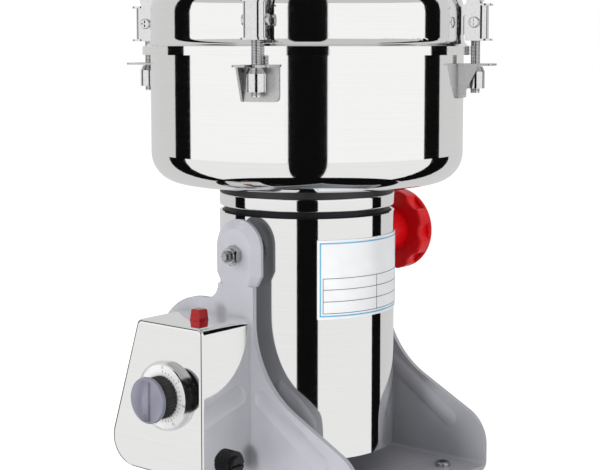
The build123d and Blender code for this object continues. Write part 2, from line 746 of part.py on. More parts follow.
def timer_knob():
    """Ribbed skirt, smooth cap with a grip bar, and the timer's own spindle."""
    start = DIAL_FACE + MOVING_GAP
    skirt_end = start + KNOB_SKIRT
    root = KNOB_SKIRT_R - KNOB_RIB_R
    skirt = Circle(root)
    for step in range(KNOB_RIBS):
        turn = radians(step * 360 / KNOB_RIBS)
        skirt += Pos(root * cos(turn), root * sin(turn)) * Circle(KNOB_RIB_R)
    skirt = extrude(skirt - Circle(TIMER_SHAFT_R), KNOB_SKIRT)
    cap = extrude(Circle(KNOB_R), KNOB_CAP)
    grip_top = KNOB_CAP + KNOB_BAR
    grip = extrude(Rectangle(2 * KNOB_R, KNOB_BAR_WIDTH), grip_top) & disc(KNOB_R - KNOB_BAR, 0, grip_top)
    grip = fillet(grip.edges().group_by(Axis.Z)[-1].filter_by(Axis.X), KNOB_BAR / 2)
    cap = fillet(cap.edges().group_by(Axis.Z)[-1], KNOB_CAP / 3) + grip
    face_out = Rot(0, -90, 0)
    spindle_end = -BOX_FACE + BOX_SHEET + TIMER_BODY_DEPTH - SHEET - MOVING_GAP
    return group([
        Pos(*timer_point(-start)) * face_out * skirt,
        Pos(*timer_point(-skirt_end)) * face_out * cap,
        bar(TIMER_SHAFT_R, timer_point(spindle_end), timer_point(-skirt_end)),
    ])


def reset_button():
    """A tapered square cap on a straight stem."""
    stem = extrude(Rectangle(BUTTON_SIDE, BUTTON_SIDE), -BUTTON_STEM)
    base = Rectangle(BUTTON_SIDE, BUTTON_SIDE)
    top = Pos(0, 0, BUTTON_HEIGHT) * Rectangle(BUTTON_TOP_SIDE, BUTTON_TOP_SIDE)
    cap = loft([base, top])
    cap = fillet(cap.edges().group_by(Axis.Z)[-1], BUTTON_ROUND)
    return Pos(-ARM_OUT - BUTTON_OUT, BUTTON_Y, BOX_TOP) * (stem + cap)


def overload_breaker():
    """Thermal breaker under the box's top, with a well for the button's stem."""
    x = -ARM_OUT - BUTTON_OUT
    top = BOX_TOP - BOX_SHEET
    low = (x - BREAKER_X / 2, BUTTON_Y - BREAKER_Y / 2, top - BREAKER_Z)
    body = block(low, (x + BREAKER_X / 2, BUTTON_Y + BREAKER_Y / 2, top))
    half = BUTTON_SIDE / 2 + MOVING_GAP
    floor = BOX_TOP - BUTTON_STEM - BUTTON_TRAVEL - MOVING_GAP
    return body - block((x - half, BUTTON_Y - half, floor), (x + half, BUTTON_Y + half, top + OVERRUN))


def fuse_point(y):
    """A point on the fuse holder's axis."""
    return (-ARM_OUT - FUSE_OUT, y, BOX_BOTTOM + FUSE_RISE)


def knurled(radius, count, groove):
    """A circle with fine grooves round it."""
    face = Circle(radius)
    for step in range(count):
        turn = radians(step * 360 / count)
        face -= Pos(radius * cos(turn), radius * sin(turn)) * Circle(groove)
    return face


def fuse_holder():
    """Knurled flange outside the box, with a barrel that runs into it."""
    face_out = Plane(origin=fuse_point(-BOX_FRONT), z_dir=(0, -1, 0))
    flange = extrude(face_out * knurled(FUSE_FLANGE_R, FUSE_KNURLS, FUSE_KNURL_R), FUSE_FLANGE)
    body = flange + bar(FUSE_BARREL_R, fuse_point(-BOX_FRONT), fuse_point(FUSE_BARREL - BOX_FRONT))
    start = fuse_point(-BOX_FRONT - FUSE_FLANGE - OVERRUN)
    return body - bar(FUSE_CAP_R, start, fuse_point(FUSE_CAP_REACH - FUSE_FLANGE - BOX_FRONT))


def fuse_cap():
    """Cap that screws into the holder, with a slot across its face."""
    front = -BOX_FRONT - FUSE_FLANGE - FUSE_CAP_PROUD
    back = FUSE_CAP_REACH - FUSE_FLANGE - BOX_FRONT
    cap = bar(FUSE_CAP_R, fuse_point(front), fuse_point(back))
    x, y, z = fuse_point(front)
    low = (x - FUSE_CAP_R, y - OVERRUN, z - FUSE_SLOT / 2)
    return cap - block(low, (x + FUSE_CAP_R, y + FUSE_SLOT, z + FUSE_SLOT / 2))


# Motor can and neck

def motor_can():
    """A plain polished tube with a hole for each pivot."""
    can = ring(CAN_R, CAN_IN, CAN_LOW, CAN_TOP)
    can -= bar(STUD_R, (-CAN_R - OVERRUN, 0, PIVOT_Z), (0, 0, PIVOT_Z))
    return can - bar(LOCK_STUD_R + RUNNING_GAP, (0, 0, PIVOT_Z), (CAN_R + OVERRUN, 0, PIVOT_Z))


def rating_plate():
    """A bare thin plate bent round the can."""
    top = CAN_TOP - PLATE_TOP_GAP
    inner = CAN_R + PLATE_GLUE
    sheet = ring(inner + PLATE_SHEET, inner, top - PLATE_HEIGHT, top)
    wedge_r = 2 * CAN_R
    middle = PLATE_TURN - 90
    ends = [radians(middle + side * PLATE_SPREAD / 2) for side in (-1, 1)]
    points = [(0, 0)] + [(wedge_r * cos(turn), wedge_r * sin(turn)) for turn in ends]
    wedge = extrude(make_face(Polyline(*points, close=True)), top + OVERRUN)
    return sheet & wedge


def bearing(low):
    """A shielded ball bearing."""
    outer_race = BEARING_R - BEARING_RACE
    inner_race = BEARING_BORE_R + BEARING_RACE
    body = ring(BEARING_R, BEARING_BORE_R, low, low + BEARING_WIDTH)
    for face in (low, low + BEARING_WIDTH):
        body -= ring(outer_race, inner_race, face - BEARING_SHIELD, face + BEARING_SHIELD)
    return body


def shaft_bearings():
    """The two bearings of the motor."""
    return group([bearing(LOWER_BEARING_Z), bearing(UPPER_BEARING_Z)])


def motor_screw_places():
    """Positions about the axis of the bottom cover's screws and the bowl's screws."""
    return [SCREW_TURN * step + SCREW_TURN / 2 for step in range(MOTOR_SCREWS)]


def upper_end_cover():
    """Casting that closes the can, holds the upper bearing and carries the bowl."""
    spigot_r = CAN_IN - SEAT_GAP
    skirt_r = spigot_r - COVER_SKIRT_WALL
    web_low = CAN_TOP - COVER_DISC
    cup_r = BEARING_R + BRACKET_CUP_WALL
    cover = turned_path([
        (SEAL_R, BOWL_LOW), (SEAL_R, BOWL_LOW - COVER_DISC),
        (BEARING_R, BOWL_LOW - COVER_DISC), (BEARING_R, UPPER_BEARING_Z),
        (cup_r, UPPER_BEARING_Z), (cup_r, web_low),
        (skirt_r, web_low), (skirt_r, CAN_TOP - COVER_SKIRT),
        (spigot_r, CAN_TOP - COVER_SKIRT), (spigot_r, CAN_TOP),
        (CAN_R - STEP_INSET, CAN_TOP), (CAN_R - STEP_INSET, STEP_TOP),
        (HUB_R, STEP_TOP), (HUB_R, BOWL_LOW),
    ])
    hole = disc(MOTOR_SCREW_R, BOWL_FLOOR - MOTOR_SCREW_LENGTH, BOWL_LOW + OVERRUN)
    hole = Pos(BOWL_SCREW_CIRCLE, 0, 0) * hole
    for turn in motor_screw_places():
        cover -= Rot(0, 0, turn) * hole
    return cover


def clamp_ring():
    """The bright ring above the can."""
    band = ring(CAN_R, HUB_R, STEP_TOP, CLAMP_TOP)
    rims = band.edges().filter_by(GeomType.CIRCLE).group_by(SortBy.RADIUS)[-1]
    return fillet(rims, CLAMP_ROUND)


def neck_collar():
    """The dull collar between the ring and the bowl."""
    return ring(CAN_R - SEAT_GAP, HUB_R, CLAMP_TOP, BOWL_LOW)


def lower_bracket():
    """Casting with the lower bearing's cup, vents and the bosses for the bottom cover."""
    cup_r = BEARING_R + BRACKET_CUP_WALL
    cup_low = LOWER_BEARING_Z - BRACKET_FLOOR
    body = disc(CAN_IN - SEAT_GAP, BRACKET_LOW, BRACKET_TOP) + disc(cup_r, cup_low, BRACKET_TOP)
    boss = Pos(BOSS_CIRCLE, 0, 0) * disc(BOSS_R, COVER_LOW + COVER_SHEET, BRACKET_TOP)
    hole = Pos(BOSS_CIRCLE, 0, 0) * disc(MOTOR_SCREW_R, COVER_LOW, COVER_LOW + MOTOR_SCREW_LENGTH)
    for turn in motor_screw_places():
        body = body + Rot(0, 0, turn) * boss - Rot(0, 0, turn) * hole
    vent_circle = (cup_r + CAN_IN) / 2
    vent = Pos(vent_circle, 0, 0) * disc(BRACKET_VENT_R, BRACKET_LOW - OVERRUN, BRACKET_TOP + OVERRUN)
    for copy in around(vent, BRACKET_VENTS, BRACKET_VENT_TURN - 360 / BRACKET_VENTS):
        body -= copy
    body -= disc(BEARING_R, LOWER_BEARING_Z, BRACKET_TOP + OVERRUN)
    return body - disc(BEARING_BORE_R + BEARING_RACE, cup_low - OVERRUN, BRACKET_TOP)


def can_bottom_cover():
    """A dished cover inside the can's lower edge, with a ring of vents."""
    outer = CAN_IN - SEAT_GAP
    top = COVER_LOW + COVER_SHEET
    cover = disc(outer, COVER_LOW, top) + ring(outer, outer - COVER_SHEET, COVER_LOW, COVER_LOW + COVER_RIM)
    slot = Pos(COVER_SLOT_CIRCLE, 0, 0) * disc(COVER_SLOT_R, COVER_LOW - OVERRUN, top + OVERRUN)
    hole = Pos(BOSS_CIRCLE, 0, 0) * disc(MOTOR_SCREW_R, COVER_LOW - OVERRUN, top + OVERRUN)
    for copy in around(slot, COVER_SLOTS) + [Rot(0, 0, turn) * hole for turn in motor_screw_places()]:
        cover -= copy
    return cover


def motor_screws():
    """Screws up through the bottom cover and down through the bowl's floor, all alike."""
    screw = pan_screw(MOTOR_SCREW_HEAD_R, MOTOR_SCREW_HEAD, MOTOR_SCREW_R, MOTOR_SCREW_LENGTH)
    below = Pos(BOSS_CIRCLE, 0, COVER_LOW) * Rot(180, 0, 0) * screw
    above = Pos(BOWL_SCREW_CIRCLE, 0, BOWL_FLOOR) * screw
    turns = motor_screw_places()
    return group([Rot(0, 0, turn) * piece for piece in (below, above) for turn in turns])


# Motor

def stator_core():
    """Laminated ring with two poles, pressed into the can."""
    bore = ARMATURE_R + AIR_GAP
    yoke_in = CAN_IN - STATOR_YOKE
    poles = Rectangle(2 * CAN_IN, POLE_WIDTH) & Circle(yoke_in + SEAT_GAP)
    section = Circle(CAN_IN - SEAT_GAP) - Circle(yoke_in) + poles - Circle(bore)
    return Pos(0, 0, STATOR_LOW) * extrude(section, STATOR_STACK)


def field_coils():
    """One wound coil round each pole."""
    start = ARMATURE_R + AIR_GAP + MOVING_GAP
    half_in = POLE_WIDTH / 2 + SEAT_GAP
    half_out = half_in + COIL_WIDTH
    low = STATOR_LOW - SEAT_GAP
    high = STATOR_TOP + SEAT_GAP
    end = start + COIL_DEPTH
    outer = block((start, -half_out, low - COIL_OVERHANG), (end, half_out, high + COIL_OVERHANG))
    outer = fillet(outer.edges().filter_by(Axis.X), COIL_WIDTH)
    hole = block((0, -half_in, low), (CAN_R, half_in, high))
    return group(around(outer - hole, 2))


def rotor_shaft():
    """One shaft from the lower bearing to the blades."""
    seat = BEARING_BORE_R - RUNNING_GAP
    return turned_path([
        (0, LOWER_BEARING_Z), (seat, LOWER_BEARING_Z), (seat, BRACKET_TOP + MOVING_GAP),
        (SHAFT_R, BRACKET_TOP + MOVING_GAP), (SHAFT_R, UPPER_BEARING_Z - MOVING_GAP),
        (seat, UPPER_BEARING_Z - MOVING_GAP), (seat, BLADE_Z), (THREAD_R, BLADE_Z),
        (THREAD_R, SHAFT_TOP), (0, SHAFT_TOP),
    ])


def armature_core():
    """Slotted laminations on the shaft."""
    section = Circle(ARMATURE_R) - Circle(SHAFT_R)
    slot = Pos(ARMATURE_R, 0) * Rectangle(2 * ARMATURE_SLOT_DEPTH, ARMATURE_SLOT)
    for copy in around(slot, ARMATURE_SLOTS):
        section -= copy
    low = STATOR_LOW + ARMATURE_SHORT
    return Pos(0, 0, low) * extrude(section, STATOR_STACK - 2 * ARMATURE_SHORT)


def armature_windings():
    """The winding's bundled ends above and below the laminations."""
    outer = ARMATURE_R - WINDING_INSET
    low = STATOR_LOW + ARMATURE_SHORT
    high = STATOR_TOP - ARMATURE_SHORT
    ends = []
    for start, end in ((low - WINDING_OVERHANG, low), (high, high + WINDING_OVERHANG)):
        bundle = ring(outer, SHAFT_R, start, end)
        rims = bundle.edges().filter_by(GeomType.CIRCLE).group_by(SortBy.RADIUS)[-1]
        ends.append(fillet(rims, WINDING_OVERHANG / 3))
    return group(ends)


def commutator():
    """Copper bars with slits between them."""
    section = Circle(COMMUTATOR_R) - Circle(SHAFT_R)
    slit = Pos(COMMUTATOR_R, 0) * Rectangle(2 * COMMUTATOR_SLIT_DEPTH, COMMUTATOR_SLIT)
    for copy in around(slit, COMMUTATOR_BARS):
        section -= copy
    return Pos(0, 0, COMMUTATOR_LOW) * extrude(section, COMMUTATOR_LENGTH)


def brush_box(width_gap):
    """Room of one brush in Y from the commutator out, with a gap to its holder's walls."""
    half = BRUSH_WIDTH / 2 + width_gap
    middle = COMMUTATOR_LOW + COMMUTATOR_LENGTH / 2
    start = COMMUTATOR_R + MOVING_GAP
    low = (-half, start, middle - BRUSH_HEIGHT / 2 - width_gap)
    return block(low, (half, start + BRUSH_LENGTH, middle + BRUSH_HEIGHT / 2 + width_gap))


def carbon_brushes():
    """A brush on each side of the commutator."""
    return group(around(brush_box(0), 2))


def brush_holders():
    """Insulating blocks on the lower bracket that guide the brushes."""
    half = BRUSH_WIDTH / 2 + HOLDER_WALL
    start = COMMUTATOR_R + HOLDER_INSET
    top = COMMUTATOR_LOW + (COMMUTATOR_LENGTH + BRUSH_HEIGHT) / 2 + HOLDER_WALL
    holder = block((-half, start, BRACKET_TOP), (half, start + HOLDER_LENGTH, top))
    return group(around(holder - brush_box(RUNNING_GAP), 2))


def cooling_fan():
    """A radial fan under the upper end cover."""
    top = FAN_LOW + FAN_HEIGHT
    half = FAN_BLADE / 2
    fan = ring(FAN_R, SHAFT_R, FAN_LOW, FAN_LOW + FAN_DISC) + ring(FAN_HUB_R, SHAFT_R, FAN_LOW, top)
    vane = block((FAN_BLADE_ROOT, -half, FAN_LOW), (FAN_R - FAN_BLADE, half, top))
    for copy in around(vane, FAN_BLADES):
        fan += copy
    return fan


# Swing pivot

def pivot_x(radius, start, end):
    """A round bar on the swing pivot's axis."""
    return bar(radius, (start, 0, PIVOT_Z), (end, 0, PIVOT_Z))


def pivot_nut_face():
    """Distance out to the seat of the pivot's nut."""
    return ARM_OUT + SEAT_GAP


def pivot_stud():
    """Stud from inside the can out through the left arm."""
    end = pivot_nut_face() + NUT_HEX + NUT_COLLAR + STUD_PROUD
    head_seat = sqrt(CAN_IN ** 2 - STUD_HEAD_R ** 2)
    stud = pivot_x(STUD_R, -end, STUD_HEAD - head_seat)
    stud = chamfer(stud.edges().group_by(Axis.X)[0], STUD_R / 3)
    return stud + pivot_x(STUD_HEAD_R, -head_seat, STUD_HEAD - head_seat)


def pivot_nut():
    """Locking nut with its collar."""
    hexed = hexagon(NUT_FLATS, 0, NUT_HEX)
    hexed &= turned_path([
        (0, 0), (NUT_FLATS, 0), (NUT_FLATS / 2, NUT_HEX), (0, NUT_HEX),
    ]) + disc(NUT_FLATS, 0, NUT_HEX - NUT_COLLAR / 2)
    nut = hexed + disc(NUT_COLLAR_R, NUT_HEX, NUT_HEX + NUT_COLLAR)
    nut -= disc(STUD_R, -OVERRUN, NUT_HEX + OVERRUN)
    return Pos(-pivot_nut_face(), 0, PIVOT_Z) * Rot(0, -90, 0) * nut


def pivot_spacers():
    """Sleeves between the can and the arms."""
    outside_can = disc(CAN_R, CAN_LOW, CAN_TOP)
    end = ARM_IN - SEAT_GAP
    left = pivot_x(SPACER_R, -end, 0) - pivot_x(STUD_R, -end - OVERRUN, 0)
    right = pivot_x(SPACER_R, 0, end) - pivot_x(LOCK_STUD_R + RUNNING_GAP, 0, end + OVERRUN)
    return group([left - outside_can, right - outside_can])


def knob_weld_nut():
    """Nut welded inside the can for the lock knob's stud."""
    seat = sqrt(CAN_IN ** 2 - WELD_NUT_R ** 2)
    return pivot_x(WELD_NUT_R, seat - WELD_NUT, seat) - pivot_x(LOCK_STUD_R + RUNNING_GAP, 0, CAN_R)


def lock_knob_start():
    """Distance out to the inner end of the lock knob."""
    return ARM_OUT + MOVING_GAP


def lock_knob():
    """Lobed hand knob on a tapered hub."""
    start = lock_knob_start()
    face = Circle(LOCK_R)
    scallop_at = LOCK_R - LOCK_SCALLOP + LOCK_SCALLOP_R
    for step in range(LOCK_LOBES):
        turn = radians(step * 360 / LOCK_LOBES)
        face -= Pos(scallop_at * cos(turn), scallop_at * sin(turn)) * Circle(LOCK_SCALLOP_R)
    face = fillet(face.vertices(), LOCK_LOBE_ROUND)
    rim = extrude(face, LOCK_RIM)
    rim = fillet(rim.faces().filter_by(Plane.XY).edges(), LOCK_EDGE)
    flange = disc(LOCK_R, LOCK_RIM - LOCK_FLANGE, LOCK_RIM)
    rim += fillet(flange.edges(), LOCK_EDGE)
    hub = turned_path([
        (0, -LOCK_HUB), (LOCK_HUB_R, -LOCK_HUB), (LOCK_HUB_ROOT_R, LOCK_EDGE), (0, LOCK_EDGE),
    ])
    knob = rim + hub - disc(LOCK_STUD_R, -LOCK_HUB - OVERRUN, LOCK_STUD_GRIP - LOCK_HUB)
    return Pos(start + LOCK_HUB, 0, PIVOT_Z) * Rot(0, 90, 0) * knob


def lock_knob_stud():
    """Threaded stud from the knob through the right arm into the can."""
    inner = sqrt(CAN_IN ** 2 - WELD_NUT_R ** 2) - WELD_NUT
    return pivot_x(LOCK_STUD_R, inner, lock_knob_start() + LOCK_STUD_GRIP)


# Bowl, lid and blades

def bowl_half(wall, top):
    """Half section of the bowl's inside or outside, less a wall."""
    radius = BOWL_R - wall
    low = BOWL_LOW + wall
    middle = BOWL_R - BOWL_FLOOR_ROUND
    centre = BOWL_LOW + BOWL_FLOOR_ROUND
    corner = CenterArc((middle, centre), BOWL_FLOOR_ROUND - wall, 270, 90)
    rest = Polyline((radius, centre), (radius, top), (0, top), (0, low), (middle, low))
    return turned(corner, *rest.edges())


def grinding_bowl():
    """Deep-drawn bowl with a turned-out rim, and holes for the shaft seal and screws."""
    bowl = bowl_half(0, RIM_TOP) + disc(BOWL_R + RIM_REACH, RIM_TOP - BOWL_WALL, RIM_TOP)
    bowl -= bowl_half(BOWL_WALL, RIM_TOP + OVERRUN)
    bowl -= disc(SEAL_R, BOWL_LOW - OVERRUN, BOWL_FLOOR + OVERRUN)
    hole = disc(MOTOR_SCREW_R, BOWL_LOW - OVERRUN, BOWL_FLOOR + OVERRUN)
    hole = Pos(BOWL_SCREW_CIRCLE, 0, 0) * hole
    for turn in motor_screw_places():
        bowl -= Rot(0, 0, turn) * hole
    return bowl


def shaft_seal():
    """Lip seal round the shaft where it enters the bowl."""
    return ring(SEAL_R, BEARING_BORE_R, BOWL_LOW - COVER_DISC, BOWL_FLOOR)


def lid_half(wall, low):
    """Half section of the lid's inside or outside, less a wall."""
    hollow_r = FLARE + wall
    sweep = degrees(acos(wall / hollow_r)) if wall else 90
    flare = CenterArc((SKIRT_R, FLARE_TOP), hollow_r, 180, sweep)
    skirt_top = FLARE_TOP - hollow_r * sin(radians(sweep))
    middle = BOWL_R - LID_ROUND
    shoulder = CenterArc((middle, LID_TOP - LID_ROUND), LID_ROUND - wall, 0, 90)
    side = Line((BOWL_R - wall, FLARE_TOP), (BOWL_R - wall, LID_TOP - LID_ROUND))
    skirt = SKIRT_R - wall
    top = LID_TOP - wall
    rest = Polyline((middle, top), (0, top), (0, low), (skirt, low), (skirt, skirt_top))
    return turned(flare, shoulder, side, *rest.edges())


def lid_shell():
    """Deep-drawn lid with a flared skirt over the bowl's rim."""
    return lid_half(0, SKIRT_LOW) - lid_half(LID_WALL, SKIRT_LOW - OVERRUN)


def lid_gasket():
    """Rubber ring between the bowl's rim and the lid's flare."""
    inner = BOWL_R - LID_WALL + GASKET_INSET
    outer = SKIRT_R - LID_WALL - SEAT_GAP
    flare_r = FLARE + LID_WALL + SEAT_GAP
    hollow = revolve(Plane.XZ * Pos(SKIRT_R, FLARE_TOP) * Circle(flare_r), Axis.Z)
    return ring(outer, inner, RIM_TOP, RIM_TOP + GASKET_HEIGHT) - hollow


def blade(reach, low):
    """A flat two-armed blade, narrower at its tips."""
    half = BLADE_WIDTH / 2
    tip = BLADE_TIP_WIDTH / 2
    front = [(-reach, -tip), (0, -half), (reach, -tip)]
    back = [(reach, tip), (0, half), (-reach, tip)]
    arm = make_face(Polyline(*front, *back, close=True))
    face = arm + Circle(BLADE_HUB_R) - Circle(THREAD_R)
    return Pos(0, 0, low) * extrude(face, BLADE_SHEET)


def lower_blade():
    """The long blade that sweeps the bowl's floor."""
    return blade(LOWER_BLADE_REACH, BLADE_Z)


def upper_blade():
    """The short blade, set across the long one."""
    return Rot(0, 0, 90) * blade(UPPER_BLADE_REACH, UPPER_BLADE_Z)


def blade_spacer():
    """Sleeve between the blades."""
    return ring(BLADE_SPACER_R, THREAD_R, BLADE_Z + BLADE_SHEET, UPPER_BLADE_Z)


def blade_nut():
    """Nut that holds the blades on the shaft."""
    nut = hexagon(BLADE_NUT_FLATS, BLADE_NUT_Z, BLADE_NUT_Z + BLADE_NUT)
    return nut - disc(THREAD_R, BLADE_NUT_Z - OVERRUN, BLADE_NUT_Z + BLADE_NUT + OVERRUN)


# Latches, each built on +X, with X out from the bowl and Y along its wall

def latch_copies(shape):
    """A latch piece at every latch."""
    return around(shape, LATCHES, LATCH_TURN)


def latch_slice(outline, half):
    """A solid from an outline of radius and height, to both sides of the latch's middle."""
    return extrude(Plane.XZ * outline, half, both=True)


def cross_pin(radius, r, z, half):
    """A pin across the latch."""
    return bar(radius, (r, -half, z), (r, half, z))


def outside_wall():
    """The round wall that latch pieces are fitted to."""
    return disc(BOWL_R, BOWL_LOW, LID_TOP)


def ear_outline():
    """Side view of a bracket's ear, from the lid's wall to the lever's pivot."""
    leg = make_face(Polyline(
        (BOWL_R - LID_WALL, FLARE_TOP + EAR_LOW), (LEVER_R, LEVER_Z - LEVER_BOSS_R),
        (LEVER_R, LEVER_Z), (BOWL_R - LID_WALL, FLARE_TOP + EAR_HIGH), close=True,
    ))
    return leg + Pos(LEVER_R, LEVER_Z) * Circle(LEVER_BOSS_R)


def latch_brackets():
    """A pad with two ears on the lid at each latch."""
    pad_top = LID_TOP - LID_ROUND
    inner = BOWL_R - LID_WALL
    pad = block((inner, -EAR_HALF, FLARE_TOP + EAR_PAD_LOW), (BOWL_R + EAR_SHEET, EAR_HALF, pad_top))
    ears = latch_slice(ear_outline(), EAR_HALF)
    gap = EAR_HALF - EAR_SHEET
    ears -= block((0, -gap, FLARE_TOP), (2 * BOWL_R, gap, 2 * LID_TOP))
    bracket = pad + ears - outside_wall() - cross_pin(LEVER_PIN_R, LEVER_R, LEVER_Z, EAR_HALF + OVERRUN)
    return group(latch_copies(bracket))


def latch_pivot_pins():
    """Rivets that the levers turn on."""
    return group(latch_copies(cross_pin(LEVER_PIN_R, LEVER_R, LEVER_Z, EAR_HALF)))


def latch_lever():
    """Hand lever with its link pin above the pivot and a paddle at its tip."""
    tip = Vector(LEVER_R + LEVER_TIP_OUT, 0, LEVER_Z + LEVER_TIP_UP)
    pin = Vector(LINK_PIN_R, 0, LINK_PIN_Z)
    paddle_start = tip + (pin - tip) * LEVER_PADDLE_SHARE
    boss = cross_pin(LEVER_BOSS_R, LEVER_R, LEVER_Z, LEVER_HALF)
    boss += cross_pin(LEVER_BOSS_R, LINK_PIN_R, LINK_PIN_Z, LEVER_HALF)
    lever = boss + lever_bar((LEVER_R, LEVER_Z), (LINK_PIN_R, LINK_PIN_Z), LEVER_BOSS_R, LEVER_HALF)
    lever += lever_bar((pin.X, pin.Z), (tip.X, tip.Z), LEVER_ARM_R, LEVER_HALF)
    lever += lever_bar((paddle_start.X, paddle_start.Z), (tip.X, tip.Z), LEVER_ARM_R, LEVER_PADDLE_HALF)
    lever += cross_pin(LEVER_ARM_R, tip.X, tip.Z, LEVER_PADDLE_HALF)
    lever += cross_pin(LEVER_PIN_R, LINK_PIN_R, LINK_PIN_Z, LINK_HALF)
    return lever - cross_pin(LEVER_PIN_R + RUNNING_GAP, LEVER_R, LEVER_Z, LEVER_HALF + OVERRUN)


def lever_bar(start, end, radius, half):
    """A flat-sided bar between two points of radius and height."""
    run = Vector(*end) - Vector(*start)
    side = Vector(-run.Y, run.X).normalized() * radius
    points = [Vector(*start) + side, Vector(*end) + side, Vector(*end) - side, Vector(*start) - side]
    return latch_slice(make_face(Polyline(*[(p.X, p.Y) for p in points], close=True)), half)


def link_lip(z):
    """A turned-out lip round the front of a link."""
    start = BOWL_R + LINK_FRONT - LINK_ROUND
    end = BOWL_R + LINK_FRONT + LINK_LIP
    face = Pos((start + end) / 2, 0) * Rectangle(end - start, 2 * LINK_LIP_HALF)
    for side in (-1, 1):
        face = round_corner(face, (end, side * LINK_LIP_HALF), LINK_ROUND)
    return Pos(0, 0, z) * extrude(face, LINK_SHEET)


def latch_link():
    """Channel between the lever and the rod, with two straps up to the lever's link pin."""
    back = BOWL_R + LINK_BACK
    front = BOWL_R + LINK_FRONT
    low = FLARE_TOP + LINK_BOTTOM
    high = FLARE_TOP + LINK_TOP
    inner_front = front - LINK_SHEET
    inner_half = LINK_HALF - LINK_SHEET
    outer = Pos((back + front) / 2, 0) * Rectangle(front - back, 2 * LINK_HALF)
    depth = inner_front - back + OVERRUN
    inner = Pos(inner_front - depth / 2, 0) * Rectangle(depth, 2 * inner_half)
    for side in (-1, 1):
        outer = round_corner(outer, (front, side * LINK_HALF), LINK_ROUND)
        inner = round_corner(inner, (inner_front, side * inner_half), LINK_ROUND - LINK_SHEET)
    room = Pos(0, 0, low) * extrude(inner, LINK_PIN_Z)
    link = Pos(0, 0, low) * extrude(outer, high - low)
    link = link + link_lip(low) + link_lip(high - LINK_SHEET)
    strap = cross_pin(LINK_STRAP_R, LINK_PIN_R, LINK_PIN_Z, LINK_HALF)
    strap += block(
        (LINK_PIN_R - LINK_STRAP_R, -LINK_HALF, high - LINK_SHEET),
        (LINK_PIN_R + LINK_STRAP_R, LINK_HALF, LINK_PIN_Z),
    )
    gap = block((0, -inner_half, low), (front - LINK_ROUND, inner_half, 2 * LID_TOP))
    link = link - room + (strap - gap)
    link -= cross_pin(LEVER_PIN_R + RUNNING_GAP, LINK_PIN_R, LINK_PIN_Z, LINK_HALF + OVERRUN)
    link -= cross_pin(TRUNNION_R, ROD_AXIS, BARREL_Z, LINK_HALF + OVERRUN)
    return group([link] + link_screws())


def link_screws():
    """A screw into each end of the rod's barrel, through the link's side."""
    shank = LINK_SHEET + BARREL_R
    screw = pan_screw(LINK_SCREW_HEAD_R, LINK_SCREW_HEAD, LINK_SCREW_R, shank)
    return [Pos(ROD_AXIS, side * LINK_HALF, BARREL_Z) * Rot(-90 * side, 0, 0) * screw for side in (-1, 1)]


def latch_rod():
    """Threaded rod hung from its barrel, with the tapered nut below the catch."""
    inner_half = LINK_HALF - LINK_SHEET - SEAT_GAP
    rod = cross_pin(BARREL_R, ROD_AXIS, BARREL_Z, inner_half)
    rod += cross_pin(TRUNNION_R, ROD_AXIS, BARREL_Z, LINK_HALF)
    rod += Pos(ROD_AXIS, 0, 0) * disc(ROD_R, FLARE_TOP + ROD_BOTTOM, BARREL_Z)
    shank = inner_half - BARREL_R
    for side in (-1, 1):
        start = (ROD_AXIS, side * shank, BARREL_Z)
        rod -= bar(LINK_SCREW_R, start, (ROD_AXIS, side * (LINK_HALF + OVERRUN), BARREL_Z))
    top = CATCH_Z - CATCH_SHEET - LATCH_NUT_GAP
    low = FLARE_TOP + LATCH_NUT_BOTTOM
    nut = turned_path([
        (ROD_R, low), (LATCH_NUT_R, low), (LATCH_NUT_R, top - LATCH_NUT_NOSE),
        (LATCH_NUT_NOSE_R, top), (ROD_R, top),
    ])
    return group([rod, Pos(ROD_AXIS, 0, 0) * nut])


def catch_brackets():
    """A slotted plate with a back and a gusset on the bowl at each latch."""
    reach = BOWL_R + CATCH_REACH
    inner = BOWL_R - BOWL_WALL
    low = FLARE_TOP + CATCH_BOTTOM
    plate = Pos((inner + reach) / 2, 0) * Rectangle(reach - inner, 2 * CATCH_HALF)
    for side in (-1, 1):
        plate = round_corner(plate, (reach, side * CATCH_HALF), CATCH_CORNER)
    slot_half = ROD_R + CATCH_SLOT_GAP
    slot = Pos(ROD_AXIS, 0) * Circle(slot_half)
    slot += Pos((ROD_AXIS + reach + OVERRUN) / 2, 0) * Rectangle(reach + OVERRUN - ROD_AXIS, 2 * slot_half)
    bracket = Pos(0, 0, CATCH_Z - CATCH_SHEET) * extrude(plate - slot, CATCH_SHEET)
    back = block((inner, -CATCH_HALF, low), (BOWL_R + CATCH_SHEET, CATCH_HALF, CATCH_Z - CATCH_SHEET))
    bracket += fillet(back.edges().filter_by(Axis.X).group_by(Axis.Z)[0], CATCH_CORNER)
    gusset = make_face(Polyline(
        (inner, low), (BOWL_R + CATCH_GUSSET_FOOT, low), (BOWL_R + CATCH_GUSSET, CATCH_Z - CATCH_SHEET),
        (inner, CATCH_Z - CATCH_SHEET), close=True,
    ))
    gap = CATCH_HALF - CATCH_SHEET
    side = latch_slice(gusset, CATCH_HALF) - block((0, -gap, 0), (2 * BOWL_R, CATCH_HALF + OVERRUN, LID_TOP))
    return group(latch_copies(bracket + side - outside_wall()))


